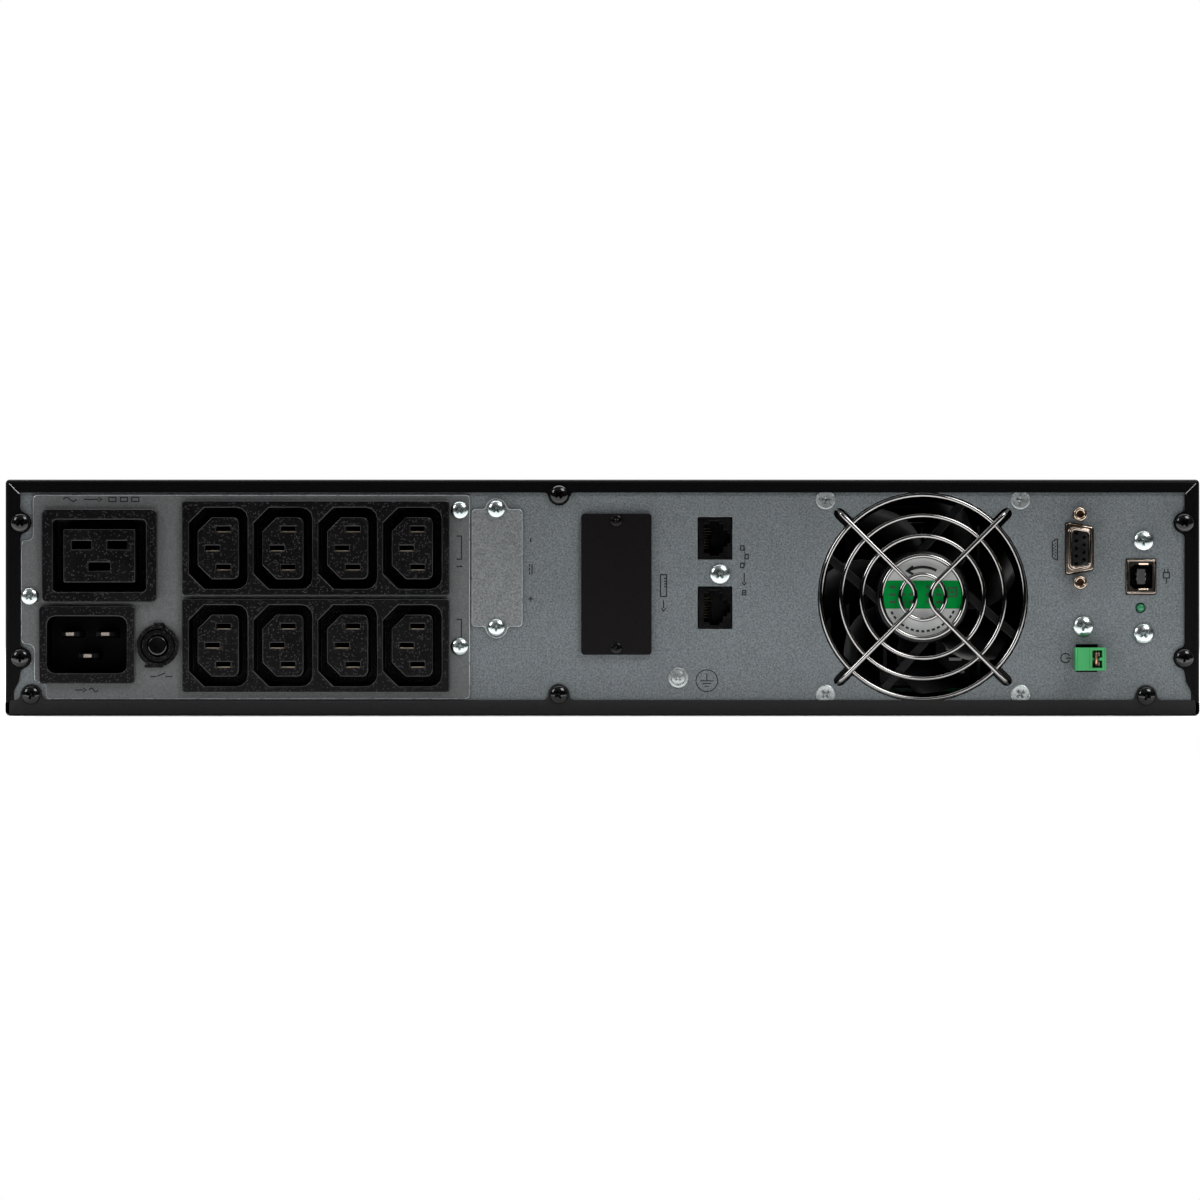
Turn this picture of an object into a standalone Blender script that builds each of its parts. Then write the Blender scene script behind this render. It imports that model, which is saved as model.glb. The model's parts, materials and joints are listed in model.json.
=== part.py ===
"""Two-unit rackmount UPS of the 3 kVA class, built as separate pieces around a sheet-metal case.

Sizes are in millimetres and become metres when a mesh is made. +X is to the right as seen from the
connector side, +Y points towards the front bezel and +Z up. The origin is the middle of the underside.
"""

import math

import bmesh
import bpy
from mathutils import Matrix, Vector

MM = 0.001
GAP = 0.3  # what two pieces that touch keep between them

# Driving dimensions
WIDTH = 438.0
HEIGHT = 86.5
DEPTH = 600.0
SHEET = 1.0  # steel of the case
PANEL_THICK = 1.2
BEND = 1.5  # outer radius of the case's bends

# The rear, from outside to inside
EPO_PROUD = 9.5
REAR = -DEPTH / 2 + EPO_PROUD  # outer face of the rear panel
PANEL_IN = REAR + PANEL_THICK
SKIN_IN = REAR - GAP  # flanges and cover plates lie on the panel
SKIN_OUT = SKIN_IN - SHEET
SEAT = SKIN_OUT - GAP  # where connector flanges rest on the outlet plate

# The front
CASE_FRONT = 268.0
BEZEL_BACK = CASE_FRONT + GAP
BEZEL_FACE = DEPTH / 2 - 1.0
BEZEL_WALL = 3.0

# Sheet-metal flanges around the rear panel
FLANGE_TOP = 81.7
FLANGE_SIDE = 213.5
FLANGE_BOTTOM = 5.6
LOBE = 4.0
LOBE_FILLET = 1.6
TRAY_LIP = 4.8
SIDE_SCREWS = (70.6, 21.0)
SIDE_SCREW_X = 213.4
TOP_SCREW = (-15.9, 80.9)
BOTTOM_SCREWS = ((-209.5, 7.5), (-16.0, 7.6), (199.4, 7.1))

# Screws of the plates and brackets, as (x, z)
PLATE_SCREWS = ((-52.3, 75.2), (-52.3, 25.2), (-210.0, 43.6))
PORT_SCREWS = ((-38.9, 75.6), (-38.9, 32.2))
SLOT_SCREWS = ((5.1, 71.4), (5.1, 24.6))
BRACKET_SCREWS = ((43.1, 51.7), (198.5, 64.0), (198.5, 29.9), (176.4, 32.6))
GROUND_SCREW = (27.8, 13.7)
SCREW_HOLE = 1.9

# Mains connectors on the outlet plate
C19 = (-184.3, 58.5)
C20 = (-188.9, 25.9)
BREAKER = (-163.0, 25.5)
BANK_X = (-154.1, -56.0)
BANK_Z = {"upper": (43.9, 78.6), "lower": (8.5, 42.7)}
OUTLET_X = [-140.75 + 23.7 * i for i in range(4)]
CONNECTOR_BACK = -262.0

# Signal connectors
RJ45_X = 41.3
RJ45_Z = {"upper": 64.95, "lower": 39.5}
RJ45_SIZE = (12.8, 15.7)
DB9 = (175.0, 61.2)
JACKSCREW_PITCH = 25.0
USB = (197.6, 50.9)
LED = (197.4, 39.4)
EPO_WINDOW = ((173.7, 181.8), (15.9, 26.1))
EPO_X = (172.8, 184.0)
EPO_Z = (16.5, 24.9)
EPO_WIRE_X = 180.8

# Cooling fan
FAN = (117.6, 43.4)
FAN_SIZE = 80.0
FAN_PITCH = 71.5
FAN_HOLE = 38.7
FAN_FRONT = PANEL_IN + 2.5
FAN_DEPTH = 25.0
FAN_BORE = 38.2
HUB = 17.4
NOTCH_REACH = 43.4
NOTCH_HALF = 2.1
BLADES = 7
GUARD_RINGS = (37.3, 30.0, 22.6, 15.0, 8.2)
RING_WIRE, SPOKE_WIRE = 0.75, 0.95
RING_Y = REAR + 0.9
SPOKE_Y = RING_Y - 1.4
SPOKE_BEND = 8.0
SPOKE_TIP = 2.75  # how far each bent spoke stays from the axis

# Battery drawer, of six 12 V blocks lying on their sides
BAY_SIDE = 94.2
DIVIDER = 1.0
TRAY_X = (-213.5, 92.5)
TRAY_Y = (-46.0, 268.0)
TRAY_FLOOR = 1.7
BATTERY = (94.0, 151.0, 65.0)
BATTERY_PITCH = (101.5, 152.5)
DOCK_X = (-90.0, -50.0)
DOCK_Z = (18.0, 38.0)
PULL = ((-112.0, -12.0), (30.0, 56.0))
PULL_DEPTH = 20.0

# Electronics
BOARD_Z = 8.0
BOARD_TOP = BOARD_Z + 1.6

# Display turntable in the front bezel
BEZEL_LEFT = 96.6
DISPLAY = (157.8, 43.25)
TURNTABLE = 34.0
BUTTON = 3.7
BUTTON_ROW = -16.0
BUTTON_X = {"power": 18.0, "up": 6.0, "down": -6.0, "enter": -18.0}

ROUND = 24  # segments of a visible round edge
PILOT = 6  # segments of a hole that a screw head hides

FINISHES = {
    "black_steel": ((0.012, 0.012, 0.014), 0.45, 0.6),
    "panel_steel": ((0.16, 0.18, 0.185), 0.5, 0.7),
    "zinc": ((0.62, 0.65, 0.66), 0.25, 1.0),
    "chrome": ((0.75, 0.74, 0.72), 0.12, 1.0),
    "nickel": ((0.55, 0.48, 0.42), 0.3, 1.0),
    "copper": ((0.75, 0.36, 0.22), 0.35, 1.0),
    "black_plastic": ((0.012, 0.012, 0.013), 0.6, 0.0),
    "bezel_plastic": ((0.02, 0.02, 0.022), 0.5, 0.0),
    "green_plastic": ((0.03, 0.36, 0.12), 0.45, 0.0),
    "grey_plastic": ((0.16, 0.16, 0.17), 0.55, 0.0),
    "lens": ((0.02, 0.03, 0.05), 0.08, 0.0),
    "led": ((0.05, 0.5, 0.25), 0.2, 0.0),
    "board": ((0.02, 0.16, 0.08), 0.5, 0.0),
    "aluminium": ((0.6, 0.6, 0.62), 0.4, 1.0),
    "winding": ((0.5, 0.2, 0.08), 0.45, 0.3),
}


# ---------------------------------------------------------------- outlines in X and Z


def turn(centre, radius, start, end, steps):
    """Points on an arc, with both ends, for angles in degrees."""
    angles = [math.radians(start + (end - start) * i / steps) for i in range(steps + 1)]
    return [(centre[0] + radius * math.cos(a), centre[1] + radius * math.sin(a)) for a in angles]


def circle(centre, radius, segments=ROUND):
    return turn(centre, radius, 0, 360, segments)[:-1]


def rounded(points, steps=4):
    """A polygon whose (x, z, radius) corners become arcs. An (x, z) corner stays sharp."""
    made = []
    for i, (x, z, *radius) in enumerate(points):
        corner = Vector((x, z))
        if not radius:
            made.append((x, z))
            continue
        back = (Vector(points[i - 1][:2]) - corner).normalized()
        on = (Vector(points[(i + 1) % len(points)][:2]) - corner).normalized()
        half = back.angle(on) / 2
        centre = corner + (back + on).normalized() * radius[0] / math.sin(half)
        first = corner + back * radius[0] / math.tan(half) - centre
        sweep = first.angle_signed(corner + on * radius[0] / math.tan(half) - centre)
        for k in range(steps + 1):
            spoke = first.copy()
            spoke.rotate(Matrix.Rotation(-sweep * k / steps, 2))
            made.append(tuple(centre + spoke))
    return made


def rectangle(x, z, radius=0.0, steps=3):
    corners = [(x[0], z[0]), (x[1], z[0]), (x[1], z[1]), (x[0], z[1])]
    return rounded([(*c, radius) for c in corners], steps) if radius else corners


def around(centre, width, height, radius=0.0, steps=3):
    """A rectangle about its centre."""
    x, z = centre
    return rectangle((x - width / 2, x + width / 2), (z - height / 2, z + height / 2), radius, steps)


def bar(start, end, width):
    """A straight strip between two points."""
    start, end = Vector(start), Vector(end)
    side = (end - start).orthogonal().normalized() * width / 2
    return [tuple(p) for p in (start + side, start - side, end - side, end + side)]


def lobe(along, reach, radius, fillet=LOBE_FILLET):
    """The round ear that carries a screw on a straight edge, as (along, out) points from left to right."""
    rise = reach - fillet
    run = math.sqrt((radius + fillet) ** 2 - rise**2)
    slope = math.degrees(math.atan2(rise, run))
    left = turn((along - run, fillet), fillet, -90, slope, 2)
    over = turn((along, reach), radius, 180 + slope, -slope, 8)
    right = turn((along + run, fillet), fillet, 180 - slope, 270, 2)
    return left + over[1:-1] + right


def d_shape(centre, width, height, radius):
    """The outline of a D connector standing upright, its longer row on the left."""
    x, z = centre
    slant = width * math.tan(math.radians(10))
    left, right, half = x - width / 2, x + width / 2, height / 2
    corners = [(left, z - half), (right, z - half + slant), (right, z + half - slant), (left, z + half)]
    return rounded([(*c, radius) for c in corners], 3)


def outlet_shape(centre, width, height, chamfer, radius):
    """The outline of an IEC outlet lying on its side, its two cut corners on the left."""
    x, z = centre
    left, right, low, high = x - width / 2, x + width / 2, z - height / 2, z + height / 2
    return rounded(
        [
            (left + chamfer, low),
            (right, low, radius),
            (right, high, radius),
            (left + chamfer, high),
            (left, high - chamfer),
            (left, low + chamfer),
        ],
        3,
    )


# ---------------------------------------------------------------- shapes, as functions that fill a bmesh


def prism(outline, y, holes=()):
    """An outline with holes, extruded along Y."""

    def build(bm):
        edges = []
        for loop in (outline, *holes):
            corners = [bm.verts.new((x, y[0], z)) for x, z in loop]
            edges += [bm.edges.new(pair) for pair in zip(corners, corners[1:] + corners[:1])]
        filled = bmesh.ops.triangle_fill(bm, edges=edges, use_beauty=True)["geom"]
        faces = [g for g in filled if isinstance(g, bmesh.types.BMFace)]
        grown = bmesh.ops.extrude_face_region(bm, geom=faces)["geom"]
        moved = [g for g in grown if isinstance(g, bmesh.types.BMVert)]
        bmesh.ops.translate(bm, verts=moved, vec=(0, y[1] - y[0], 0))

    return build


def box(x, y, z):
    """A block between the two ends given on each axis."""

    def build(bm):
        size = Matrix.Diagonal((x[1] - x[0], y[1] - y[0], z[1] - z[0], 1))
        middle = Matrix.Translation([(a + b) / 2 for a, b in (x, y, z)])
        bmesh.ops.create_cube(bm, size=1, matrix=middle @ size)

    return build


def lathe(profile, centre, segments=ROUND):
    """A closed profile of (radius, y) points, spun about the line along Y through (x, z)."""

    def build(bm):
        points = [bm.verts.new((centre[0] + r, y, centre[1])) for r, y in profile]
        edges = [bm.edges.new(pair) for pair in zip(points, points[1:] + points[:1])]
        middle = (centre[0], 0, centre[1])
        bmesh.ops.spin(
            bm,
            geom=points + edges,
            cent=middle,
            axis=(0, 1, 0),
            angle=2 * math.pi,
            steps=segments,
            use_merge=True,
        )
        bmesh.ops.remove_doubles(bm, verts=bm.verts, dist=1e-3)
        on_axis = [e for e in bm.edges if not e.link_faces or e.calc_length() < 1e-3]
        bmesh.ops.delete(bm, geom=on_axis, context="EDGES")

    return build


def disc(centre, radius, y, segments=ROUND):
    return prism(circle(centre, radius, segments), y)


def loft(sections):
    """A skin through matching closed sections, with both ends filled."""

    def build(bm):
        rings = [[bm.verts.new(p) for p in section] for section in sections]
        for a, b in zip(rings, rings[1:]):
            for i in range(len(a)):
                bm.faces.new((a[i - 1], a[i], b[i], b[i - 1]))
        bm.faces.new(rings[0])
        bm.faces.new(rings[-1])

    return build


def rod(path, radius, sides=6):
    """A round wire along the points of a path."""
    path = [Vector(p) for p in path]
    sections = []
    for i, point in enumerate(path):
        ahead = (path[min(i + 1, len(path) - 1)] - path[max(i - 1, 0)]).normalized()
        across = ahead.cross(Vector((0, 1, 0)))
        across = across.normalized() if across.length > 0.1 else Vector((1, 0, 0))
        up = across.cross(ahead).normalized()
        angles = [2 * math.pi * k / sides for k in range(sides)]
        sections.append([point + radius * (across * math.cos(a) + up * math.sin(a)) for a in angles])
    return loft(sections)


# ---------------------------------------------------------------- objects


def finish_material(name):
    """The Principled material of one finish, made once."""
    made = bpy.data.materials.get(name)
    if made:
        return made
    colour, roughness, metallic = FINISHES[name]
    made = bpy.data.materials.new(name)
    made.use_nodes = True
    shader = made.node_tree.nodes["Principled BSDF"]
    shader.inputs["Base Color"].default_value = (*colour, 1)
    shader.inputs["Roughness"].default_value = roughness
    shader.inputs["Metallic"].default_value = metallic
    return made


def mesh_object(name, shapes, origin):
    """An object of some shapes, placed at its origin."""
    bm = bmesh.new()
    for shape in shapes:
        part = bmesh.new()
        shape(part)
        bmesh.ops.recalc_face_normals(part, faces=part.faces)
        piece = bpy.data.meshes.new(name)
        part.to_mesh(piece)
        part.free()
        bm.from_mesh(piece)
        bpy.data.meshes.remove(piece)
    bmesh.ops.translate(bm, verts=bm.verts, vec=-Vector(origin))
    bmesh.ops.scale(bm, verts=bm.verts, vec=(MM, MM, MM))
    mesh = bpy.data.meshes.new(name)
    bm.to_mesh(mesh)
    bm.free()
    mesh.shade_smooth()
    mesh.set_sharp_from_angle(angle=math.radians(35))
    obj = bpy.data.objects.new(name, mesh)
    obj.location = Vector(origin) * MM
    bpy.context.scene.collection.objects.link(obj)
    return obj


def solid(name, finish, base, *steps, origin=(0, 0, 0)):
    """A named piece: a base shape, then ("add" or "cut", shapes ...) steps, each one Boolean."""
    obj = mesh_object(name, [base], origin)
    obj.data.materials.append(finish_material(finish))
    for number, (how, *shapes) in enumerate(steps):
        tool = mesh_object(f"{name}_tool_{number}", shapes, origin)
        tool.hide_render = True
        tool.display_type = "WIRE"
        modifier = obj.modifiers.new(how, "BOOLEAN")
        modifier.operation = "UNION" if how == "add" else "DIFFERENCE"
        modifier.object = tool
    return obj


def spot(centre, y=0.0):
    """An (x, z) centre as an origin in space."""
    return (centre[0], y, centre[1])


# ---------------------------------------------------------------- case


def side_screws():
    """Centres of the four screws that hold the cover's side flanges."""
    return [(side * SIDE_SCREW_X, z) for side in (-1, 1) for z in SIDE_SCREWS]


def jackscrews():
    """Centres of the serial port's two jackscrews, the lower one first."""
    return [(DB9[0], DB9[1] + side * JACKSCREW_PITCH / 2) for side in (-1, 1)]


def bottom_chassis():
    half, wall_in, wall_out, wall_top = WIDTH / 2, 216.4, 217.6, 20.0
    floor = 1.2
    profile = rounded(
        [
            (-half, 0, BEND),
            (half, 0, BEND),
            (half, TRAY_LIP),
            (wall_in, TRAY_LIP),
            (wall_in, floor),
            (-wall_in, floor),
            (-wall_in, TRAY_LIP),
            (-half, TRAY_LIP),
        ],
        3,
    )
    walls = [
        box(sorted((side * wall_in, side * wall_out)), (REAR, CASE_FRONT), (floor, wall_top))
        for side in (-1, 1)
    ]
    edge = [(-half + 1.5, FLANGE_BOTTOM)]
    for x, z in BOTTOM_SCREWS:
        edge += [(u, FLANGE_BOTTOM + v) for u, v in lobe(x, z - FLANGE_BOTTOM, LOBE)]
    edge += [(half - 1.5, FLANGE_BOTTOM)]
    flange = [*edge, (half - 1.5, 0.2), (-half + 1.5, 0.2)]
    holes = [circle(screw, SCREW_HOLE, PILOT) for screw in BOTTOM_SCREWS]
    return solid(
        "bottom_chassis",
        "black_steel",
        prism(profile, (SKIN_IN - 0.5, CASE_FRONT)),
        ("add", *walls, prism(flange, (SKIN_OUT, SKIN_IN), holes)),
    )


def side_edge(side):
    """The inner edge of the cover's side flange, from the top down, with its two screw ears."""
    edge = []
    for z in SIDE_SCREWS:
        ear = lobe(-z, FLANGE_SIDE - SIDE_SCREW_X, LOBE)
        edge += [(side * (FLANGE_SIDE - v), -u) for u, v in ear]
    return edge + [(side * (FLANGE_SIDE + 0.6), 12.2), (side * (WIDTH / 2 - 1.2), 6.4)]


def top_cover():
    half, low = WIDTH / 2, TRAY_LIP + GAP
    inside = half - SHEET
    shell = rounded(
        [
            (-half, low),
            (-inside, low),
            (-inside, HEIGHT - SHEET),
            (inside, HEIGHT - SHEET),
            (inside, low),
            (half, low),
            (half, HEIGHT, BEND),
            (-half, HEIGHT, BEND),
        ],
        3,
    )
    x, z = TOP_SCREW
    top_ear = [(u, FLANGE_TOP - v) for u, v in lobe(x, FLANGE_TOP - z, LOBE)]
    flange = rounded(
        [
            *side_edge(-1)[::-1],
            (-FLANGE_SIDE, FLANGE_TOP),
            *top_ear,
            (FLANGE_SIDE, FLANGE_TOP),
            *side_edge(1),
            (half, 6.4),
            (half, HEIGHT, BEND),
            (-half, HEIGHT, BEND),
            (-half, 6.4),
        ],
        3,
    )
    holes = [circle(screw, SCREW_HOLE, PILOT) for screw in (*side_screws(), TOP_SCREW)]
    return solid(
        "top_cover",
        "black_steel",
        prism(shell, (SKIN_IN - 0.5, CASE_FRONT)),
        ("add", prism(flange, (SKIN_OUT, SKIN_IN), holes)),
    )


def fan_opening():
    """The round hole in the rear panel with four slots for the guard's legs."""
    edge = []
    mouth = math.degrees(math.asin(NOTCH_HALF / FAN_HOLE))
    for quarter in range(4):
        slot = 45 + 90 * quarter
        end = (
            FAN[0] + NOTCH_REACH * math.cos(math.radians(slot)),
            FAN[1] + NOTCH_REACH * math.sin(math.radians(slot)),
        )
        edge += turn(FAN, FAN_HOLE, slot - 90 + mouth, slot - mouth, 10)
        edge += turn(end, NOTCH_HALF, slot - 90, slot + 90, 5)
    return edge


def corners_of_fan():
    reach = FAN_PITCH / 2
    return [(FAN[0] + sx * reach, FAN[1] + sz * reach) for sx in (-1, 1) for sz in (-1, 1)]


def rear_panel():
    screws = [*side_screws(), TOP_SCREW, *BOTTOM_SCREWS, *PLATE_SCREWS, *PORT_SCREWS, *SLOT_SCREWS]
    screws += [*BRACKET_SCREWS, GROUND_SCREW, *corners_of_fan(), *jackscrews()]
    bank_left = BANK_X[0] - 2.0
    mains = [(-206.5, 12.8), (bank_left, 12.8), (bank_left, 8.0), (-55.4, 8.0), (-55.4, 79.2), (-206.5, 79.2)]
    windows = [
        mains,
        around((-38.9, 54.0), 14.0, 34.0, 1.0),
        around((5.1, 48.0), 20.0, 40.0, 1.0),
        fan_opening(),
        d_shape(DB9, 10.6, 19.9, 1.0),
        around(USB, 11.3, 13.2),
        circle(LED, 1.9, 12),
        rectangle(*EPO_WINDOW),
    ]
    windows += [around((RJ45_X, z), *RJ45_SIZE, 0.4) for z in RJ45_Z.values()]
    holes = windows + [circle(screw, SCREW_HOLE, PILOT) for screw in screws]
    outline = rectangle((-216.0, 216.0), (1.6, HEIGHT - SHEET - GAP))
    return solid("rear_panel", "panel_steel", prism(outline, (REAR, PANEL_IN), holes))


def outlet_plate():
    left, right, low, high = -213.2, -48.6, 6.0, 80.9
    outline = rounded(
        [
            (-204.2, low, 1.5),
            (right, low, 1.5),
            (right, high, 1.5),
            (-208.9, high, 1.5),
            (-208.9, 64.2, 2.0),
            (left, 64.2, 1.5),
            (left, 26.0, 1.8),
            (-208.5, 26.0, 2.2),
            (-208.5, 12.0, 1.8),
            (-204.2, 12.0, 2.0),
        ],
        3,
    )
    holes = [
        around(C19, 38.0, 30.4),
        around(C20, 32.6, 25.4),
        circle(BREAKER, 6.4, ROUND),
        *[rectangle((BANK_X[0] + 1.5, BANK_X[1] - 1.5), (z[0] + 1.5, z[1] - 1.5)) for z in BANK_Z.values()],
        *[circle(screw, SCREW_HOLE, PILOT) for screw in PLATE_SCREWS],
    ]
    return solid("outlet_plate", "panel_steel", prism(outline, (SKIN_OUT, SKIN_IN), holes))


def battery_port_cover():
    left, right, low, high = -48.0, -29.3, 32.5, 75.7
    top = [(u, high + v) for u, v in lobe(PORT_SCREWS[0][0], PORT_SCREWS[0][1] - high, LOBE, 1.2)]
    bottom = [(u, low - v) for u, v in lobe(PORT_SCREWS[1][0], low - PORT_SCREWS[1][1], LOBE, 1.2)]
    corner = 1.6
    upper = [(left, high, corner), *top, (right, high, corner)]
    lower = [(right, low, corner), *bottom[::-1], (left, low, corner)]
    outline = rounded(upper + lower, 3)
    holes = [circle(screw, SCREW_HOLE, PILOT) for screw in PORT_SCREWS]
    return solid("battery_port_cover", "panel_steel", prism(outline, (SKIN_OUT, SKIN_IN), holes))


def slot_cover():
    outline = around((5.1, 48.1), 25.8, 51.8, 1.2)
    holes = [circle(screw, SCREW_HOLE, PILOT) for screw in SLOT_SCREWS]
    return solid("slot_cover", "black_steel", prism(outline, (SKIN_OUT - 1.0, SKIN_IN), holes))


# ---------------------------------------------------------------- mains connectors


def c19_outlet():
    x, z = C19
    face = SEAT - 2.5
    slots = [((-6.5, 3.9), 7.2), ((6.5, 3.9), 7.2), ((0.0, -4.0), 7.9)]
    groove = prism(around(C19, 34.2, 26.5, 1.5), (face - 1, face + 20), [around(C19, 26.3, 19.5, 0.6)])
    contacts = [
        prism(around((x + dx, z + dz), width, 3.2), (face - 1, face + 16)) for (dx, dz), width in slots
    ]
    return solid(
        "c19_outlet",
        "black_plastic",
        prism(around(C19, 42.3, 34.2, 2.0), (face, SEAT)),
        ("add", prism(around(C19, 37.2, 29.6), (SEAT - 1.0, CONNECTOR_BACK))),
        ("cut", groove, *contacts),
        origin=spot(C19, face),
    )


def inlet_pins():
    """(name, centre) of the three blades of the mains inlet."""
    x, z = C20
    return [("neutral", (x - 6.5, z + 3.9)), ("line", (x + 6.5, z + 3.9)), ("earth", (x, z - 4.1))]


def c20_inlet():
    face = SEAT - 2.0
    floor = face + 20
    holes = [prism(around(centre, 8.0, 2.6), (floor - 1, CONNECTOR_BACK + 1)) for _, centre in inlet_pins()]
    return solid(
        "c20_inlet",
        "black_plastic",
        prism(around(C20, 35.2, 28.6, 1.5), (face, SEAT)),
        ("add", prism(around(C20, 31.8, 24.6), (SEAT - 1.0, CONNECTOR_BACK))),
        ("cut", prism(around(C20, 29.3, 20.9, 3.0), (face - 1, floor))),
        ("cut", *holes),
        origin=spot(C20, face),
    )


def inlet_pin(name, centre):
    """A blade with a tapered tip that stops short of the inlet's rim, and a tab for its wire."""
    x, z = centre
    tip, shoulder, back = SEAT + 1.5, SEAT + 3.5, CONNECTOR_BACK + 6.0
    outline = [(-2.0, tip), (2.0, tip), (3.7, shoulder), (3.7, back), (-3.7, back), (-3.7, shoulder)]
    sections = [[(x + dx, y, z + dz) for dx, y in outline] for dz in (-1.0, 1.0)]
    return solid(f"inlet_pin_{name}", "nickel", loft(sections), origin=spot(centre, tip))


def outlet_bank(level):
    low, high = BANK_Z[level]
    middle = (low + high) / 2
    face = SEAT - 2.2
    grooves, contacts = [], []
    for x in OUTLET_X:
        centre = (x, middle)
        inner = outlet_shape(centre, 15.1, 22.7, 5.2, 2.2)
        grooves.append(prism(outlet_shape(centre, 21.5, 29.8, 5.6, 4.0), (face - 1, face + 20), [inner]))
        for dx, dz in ((1.9, 7.0), (-2.1, 0.0), (1.9, -7.0)):
            contacts.append(prism(around((x + dx, middle + dz), 5.3, 2.1), (face - 1, face + 16)))
    body = rectangle((BANK_X[0] + 1.9, BANK_X[1] - 1.9), (low + 1.9, high - 1.9))
    return solid(
        f"outlet_bank_{level}",
        "black_plastic",
        prism(rectangle(BANK_X, (low, high), 1.0), (face, SEAT)),
        ("add", prism(body, (SEAT - 1.0, CONNECTOR_BACK))),
        ("cut", *grooves, *contacts),
        origin=((BANK_X[0] + BANK_X[1]) / 2, face, middle),
    )


def breaker_body():
    x, z = BREAKER
    bore = 4.0
    return solid(
        "breaker_body",
        "black_plastic",
        box((x - 6.5, x + 6.5), (PANEL_IN + 1.0, CONNECTOR_BACK), (z - 12.0, z + 9.0)),
        ("add", disc(BREAKER, 6.0, (SEAT - 0.6, PANEL_IN + 2.0))),
        ("cut", disc(BREAKER, bore, (SEAT - 2.0, CONNECTOR_BACK - 6.0))),
        origin=spot(BREAKER, SEAT),
    )


def breaker_collar():
    """The clip ring around the breaker's neck: a tab above and below, and a slit beside each."""
    x, z = BREAKER
    face = SEAT - 1.6
    tabs = [box((x - 1.5, x + 2.5), (face + 0.3, SEAT), (z + 7.0, z + 8.3))]
    tabs += [box((x - 4.8, x + 1.9), (face + 0.3, SEAT), (z - 8.0, z - 7.0))]
    web = SEAT - 0.5  # the slits stop short, so the ring stays in one piece
    slits = [box((x + 2.1, x + 3.0), (face - 1, web), (z + low, z + low + 4.0)) for low in (5.0, -9.0)]
    return solid(
        "breaker_collar",
        "black_plastic",
        prism(circle(BREAKER, 7.7, 32), (face, SEAT), [circle(BREAKER, 6.3, 32)]),
        ("add", *tabs),
        ("cut", *slits),
        origin=spot(BREAKER, SEAT),
    )


def breaker_button():
    face = SEAT - 3.2
    profile = [(0, face), (2.9, face), (3.5, face + 0.7), (3.5, face + 20), (0, face + 20)]
    return solid("breaker_button", "black_plastic", lathe(profile, BREAKER), origin=spot(BREAKER, face))


# ---------------------------------------------------------------- signal connectors


def rj45_jack(level):
    centre = (RJ45_X, RJ45_Z[level])
    width, height = RJ45_SIZE[0] - 2 * GAP, RJ45_SIZE[1] - 2 * GAP
    steps = [(-4.1, 5.4), (-2.0, 5.4), (-2.0, 6.4), (1.6, 6.4), (1.6, 5.4), (2.9, 5.4), (2.9, 3.1)]
    steps += [(4.6, 3.1), (4.6, 1.8), (5.7, 1.8)]
    cavity = [*steps, *[(x, -z) for x, z in reversed(steps)]]
    cavity = [(centre[0] + x, centre[1] + z) for x, z in cavity]
    front = REAR + 0.5
    return solid(
        f"rj45_jack_{level}",
        "black_plastic",
        prism(around(centre, width, height), (front, front + 16)),
        ("cut", prism(cavity, (front - 1, front + 13))),
        origin=spot(centre, front),
    )


def db9_shell():
    back = PANEL_IN + 1.5
    inner = d_shape(DB9, 7.1, 14.8, 1.6)
    return solid(
        "db9_shell",
        "nickel",
        prism(around(DB9, 12.5, 30.8, 0.8), (PANEL_IN + GAP, back)),
        ("add", prism(d_shape(DB9, 9.8, 19.1, 0.8), (REAR - 1.0, back - 0.2))),
        ("add", prism(d_shape(DB9, 8.1, 15.8, 2.0), (REAR - 6.0, back - 0.4))),
        ("cut", prism(inner, (REAR - 7.0, back + 1))),
        ("cut", *[disc(centre, SCREW_HOLE, (REAR, back + 1), PILOT) for centre in jackscrews()]),
        origin=spot(DB9, REAR),
    )


def db9_contacts():
    """Centres of the nine sockets: five on the left, four on the right."""
    pitch, row = 2.76, 2.84
    long_row = [(DB9[0] - row / 2, DB9[1] + pitch * (i - 2)) for i in range(5)]
    short_row = [(DB9[0] + row / 2, DB9[1] + pitch * (i - 1.5)) for i in range(4)]
    return long_row + short_row


def db9_insert():
    front, back = REAR - 5.6, PANEL_IN + 5.0
    sockets = [disc(centre, 0.65, (front - 1, front + 7), PILOT) for centre in db9_contacts()]
    return solid(
        "db9_insert",
        "black_plastic",
        prism(d_shape(DB9, 6.4, 14.0, 1.4), (front, back)),
        ("cut", *sockets),
        origin=spot(DB9, front),
    )


def db9_jackscrew(level, centre):
    front = REAR - 4.8
    return solid(
        f"db9_jackscrew_{level}",
        "nickel",
        disc(centre, 2.75, (front, REAR - GAP), 6),
        ("add", disc(centre, 1.5, (REAR - 1.5, PANEL_IN + 5.0), 12)),
        ("cut", disc(centre, 1.3, (front - 1, front + 3.6), 12)),
        origin=spot(centre, front),
    )


def usb_shape(width, height, cut):
    """The USB-B mouth turned upright: two corners cut on its left."""
    x, z = USB
    left, right, low, high = x - width / 2, x + width / 2, z - height / 2, z + height / 2
    square = [(left + cut, low), (right, low), (right, high), (left + cut, high)]
    return square + [(left, high - cut), (left, low + cut)]


def usb_shell():
    front = REAR - 1.2
    return solid(
        "usb_shell",
        "nickel",
        prism(around(USB, 10.6, 12.5, 0.6), (front, front + 15), [around(USB, 9.6, 11.4)]),
        origin=spot(USB, front),
    )


def usb_insert():
    front = REAR - 0.6
    tongue = around(USB, 2.7, 5.4)
    return solid(
        "usb_insert",
        "black_plastic",
        prism(around(USB, 9.0, 10.8), (front, front + 14)),
        ("cut", prism(usb_shape(7.9, 8.6, 2.0), (front - 1, front + 9.5), [tongue])),
        origin=spot(USB, front),
    )


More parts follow.
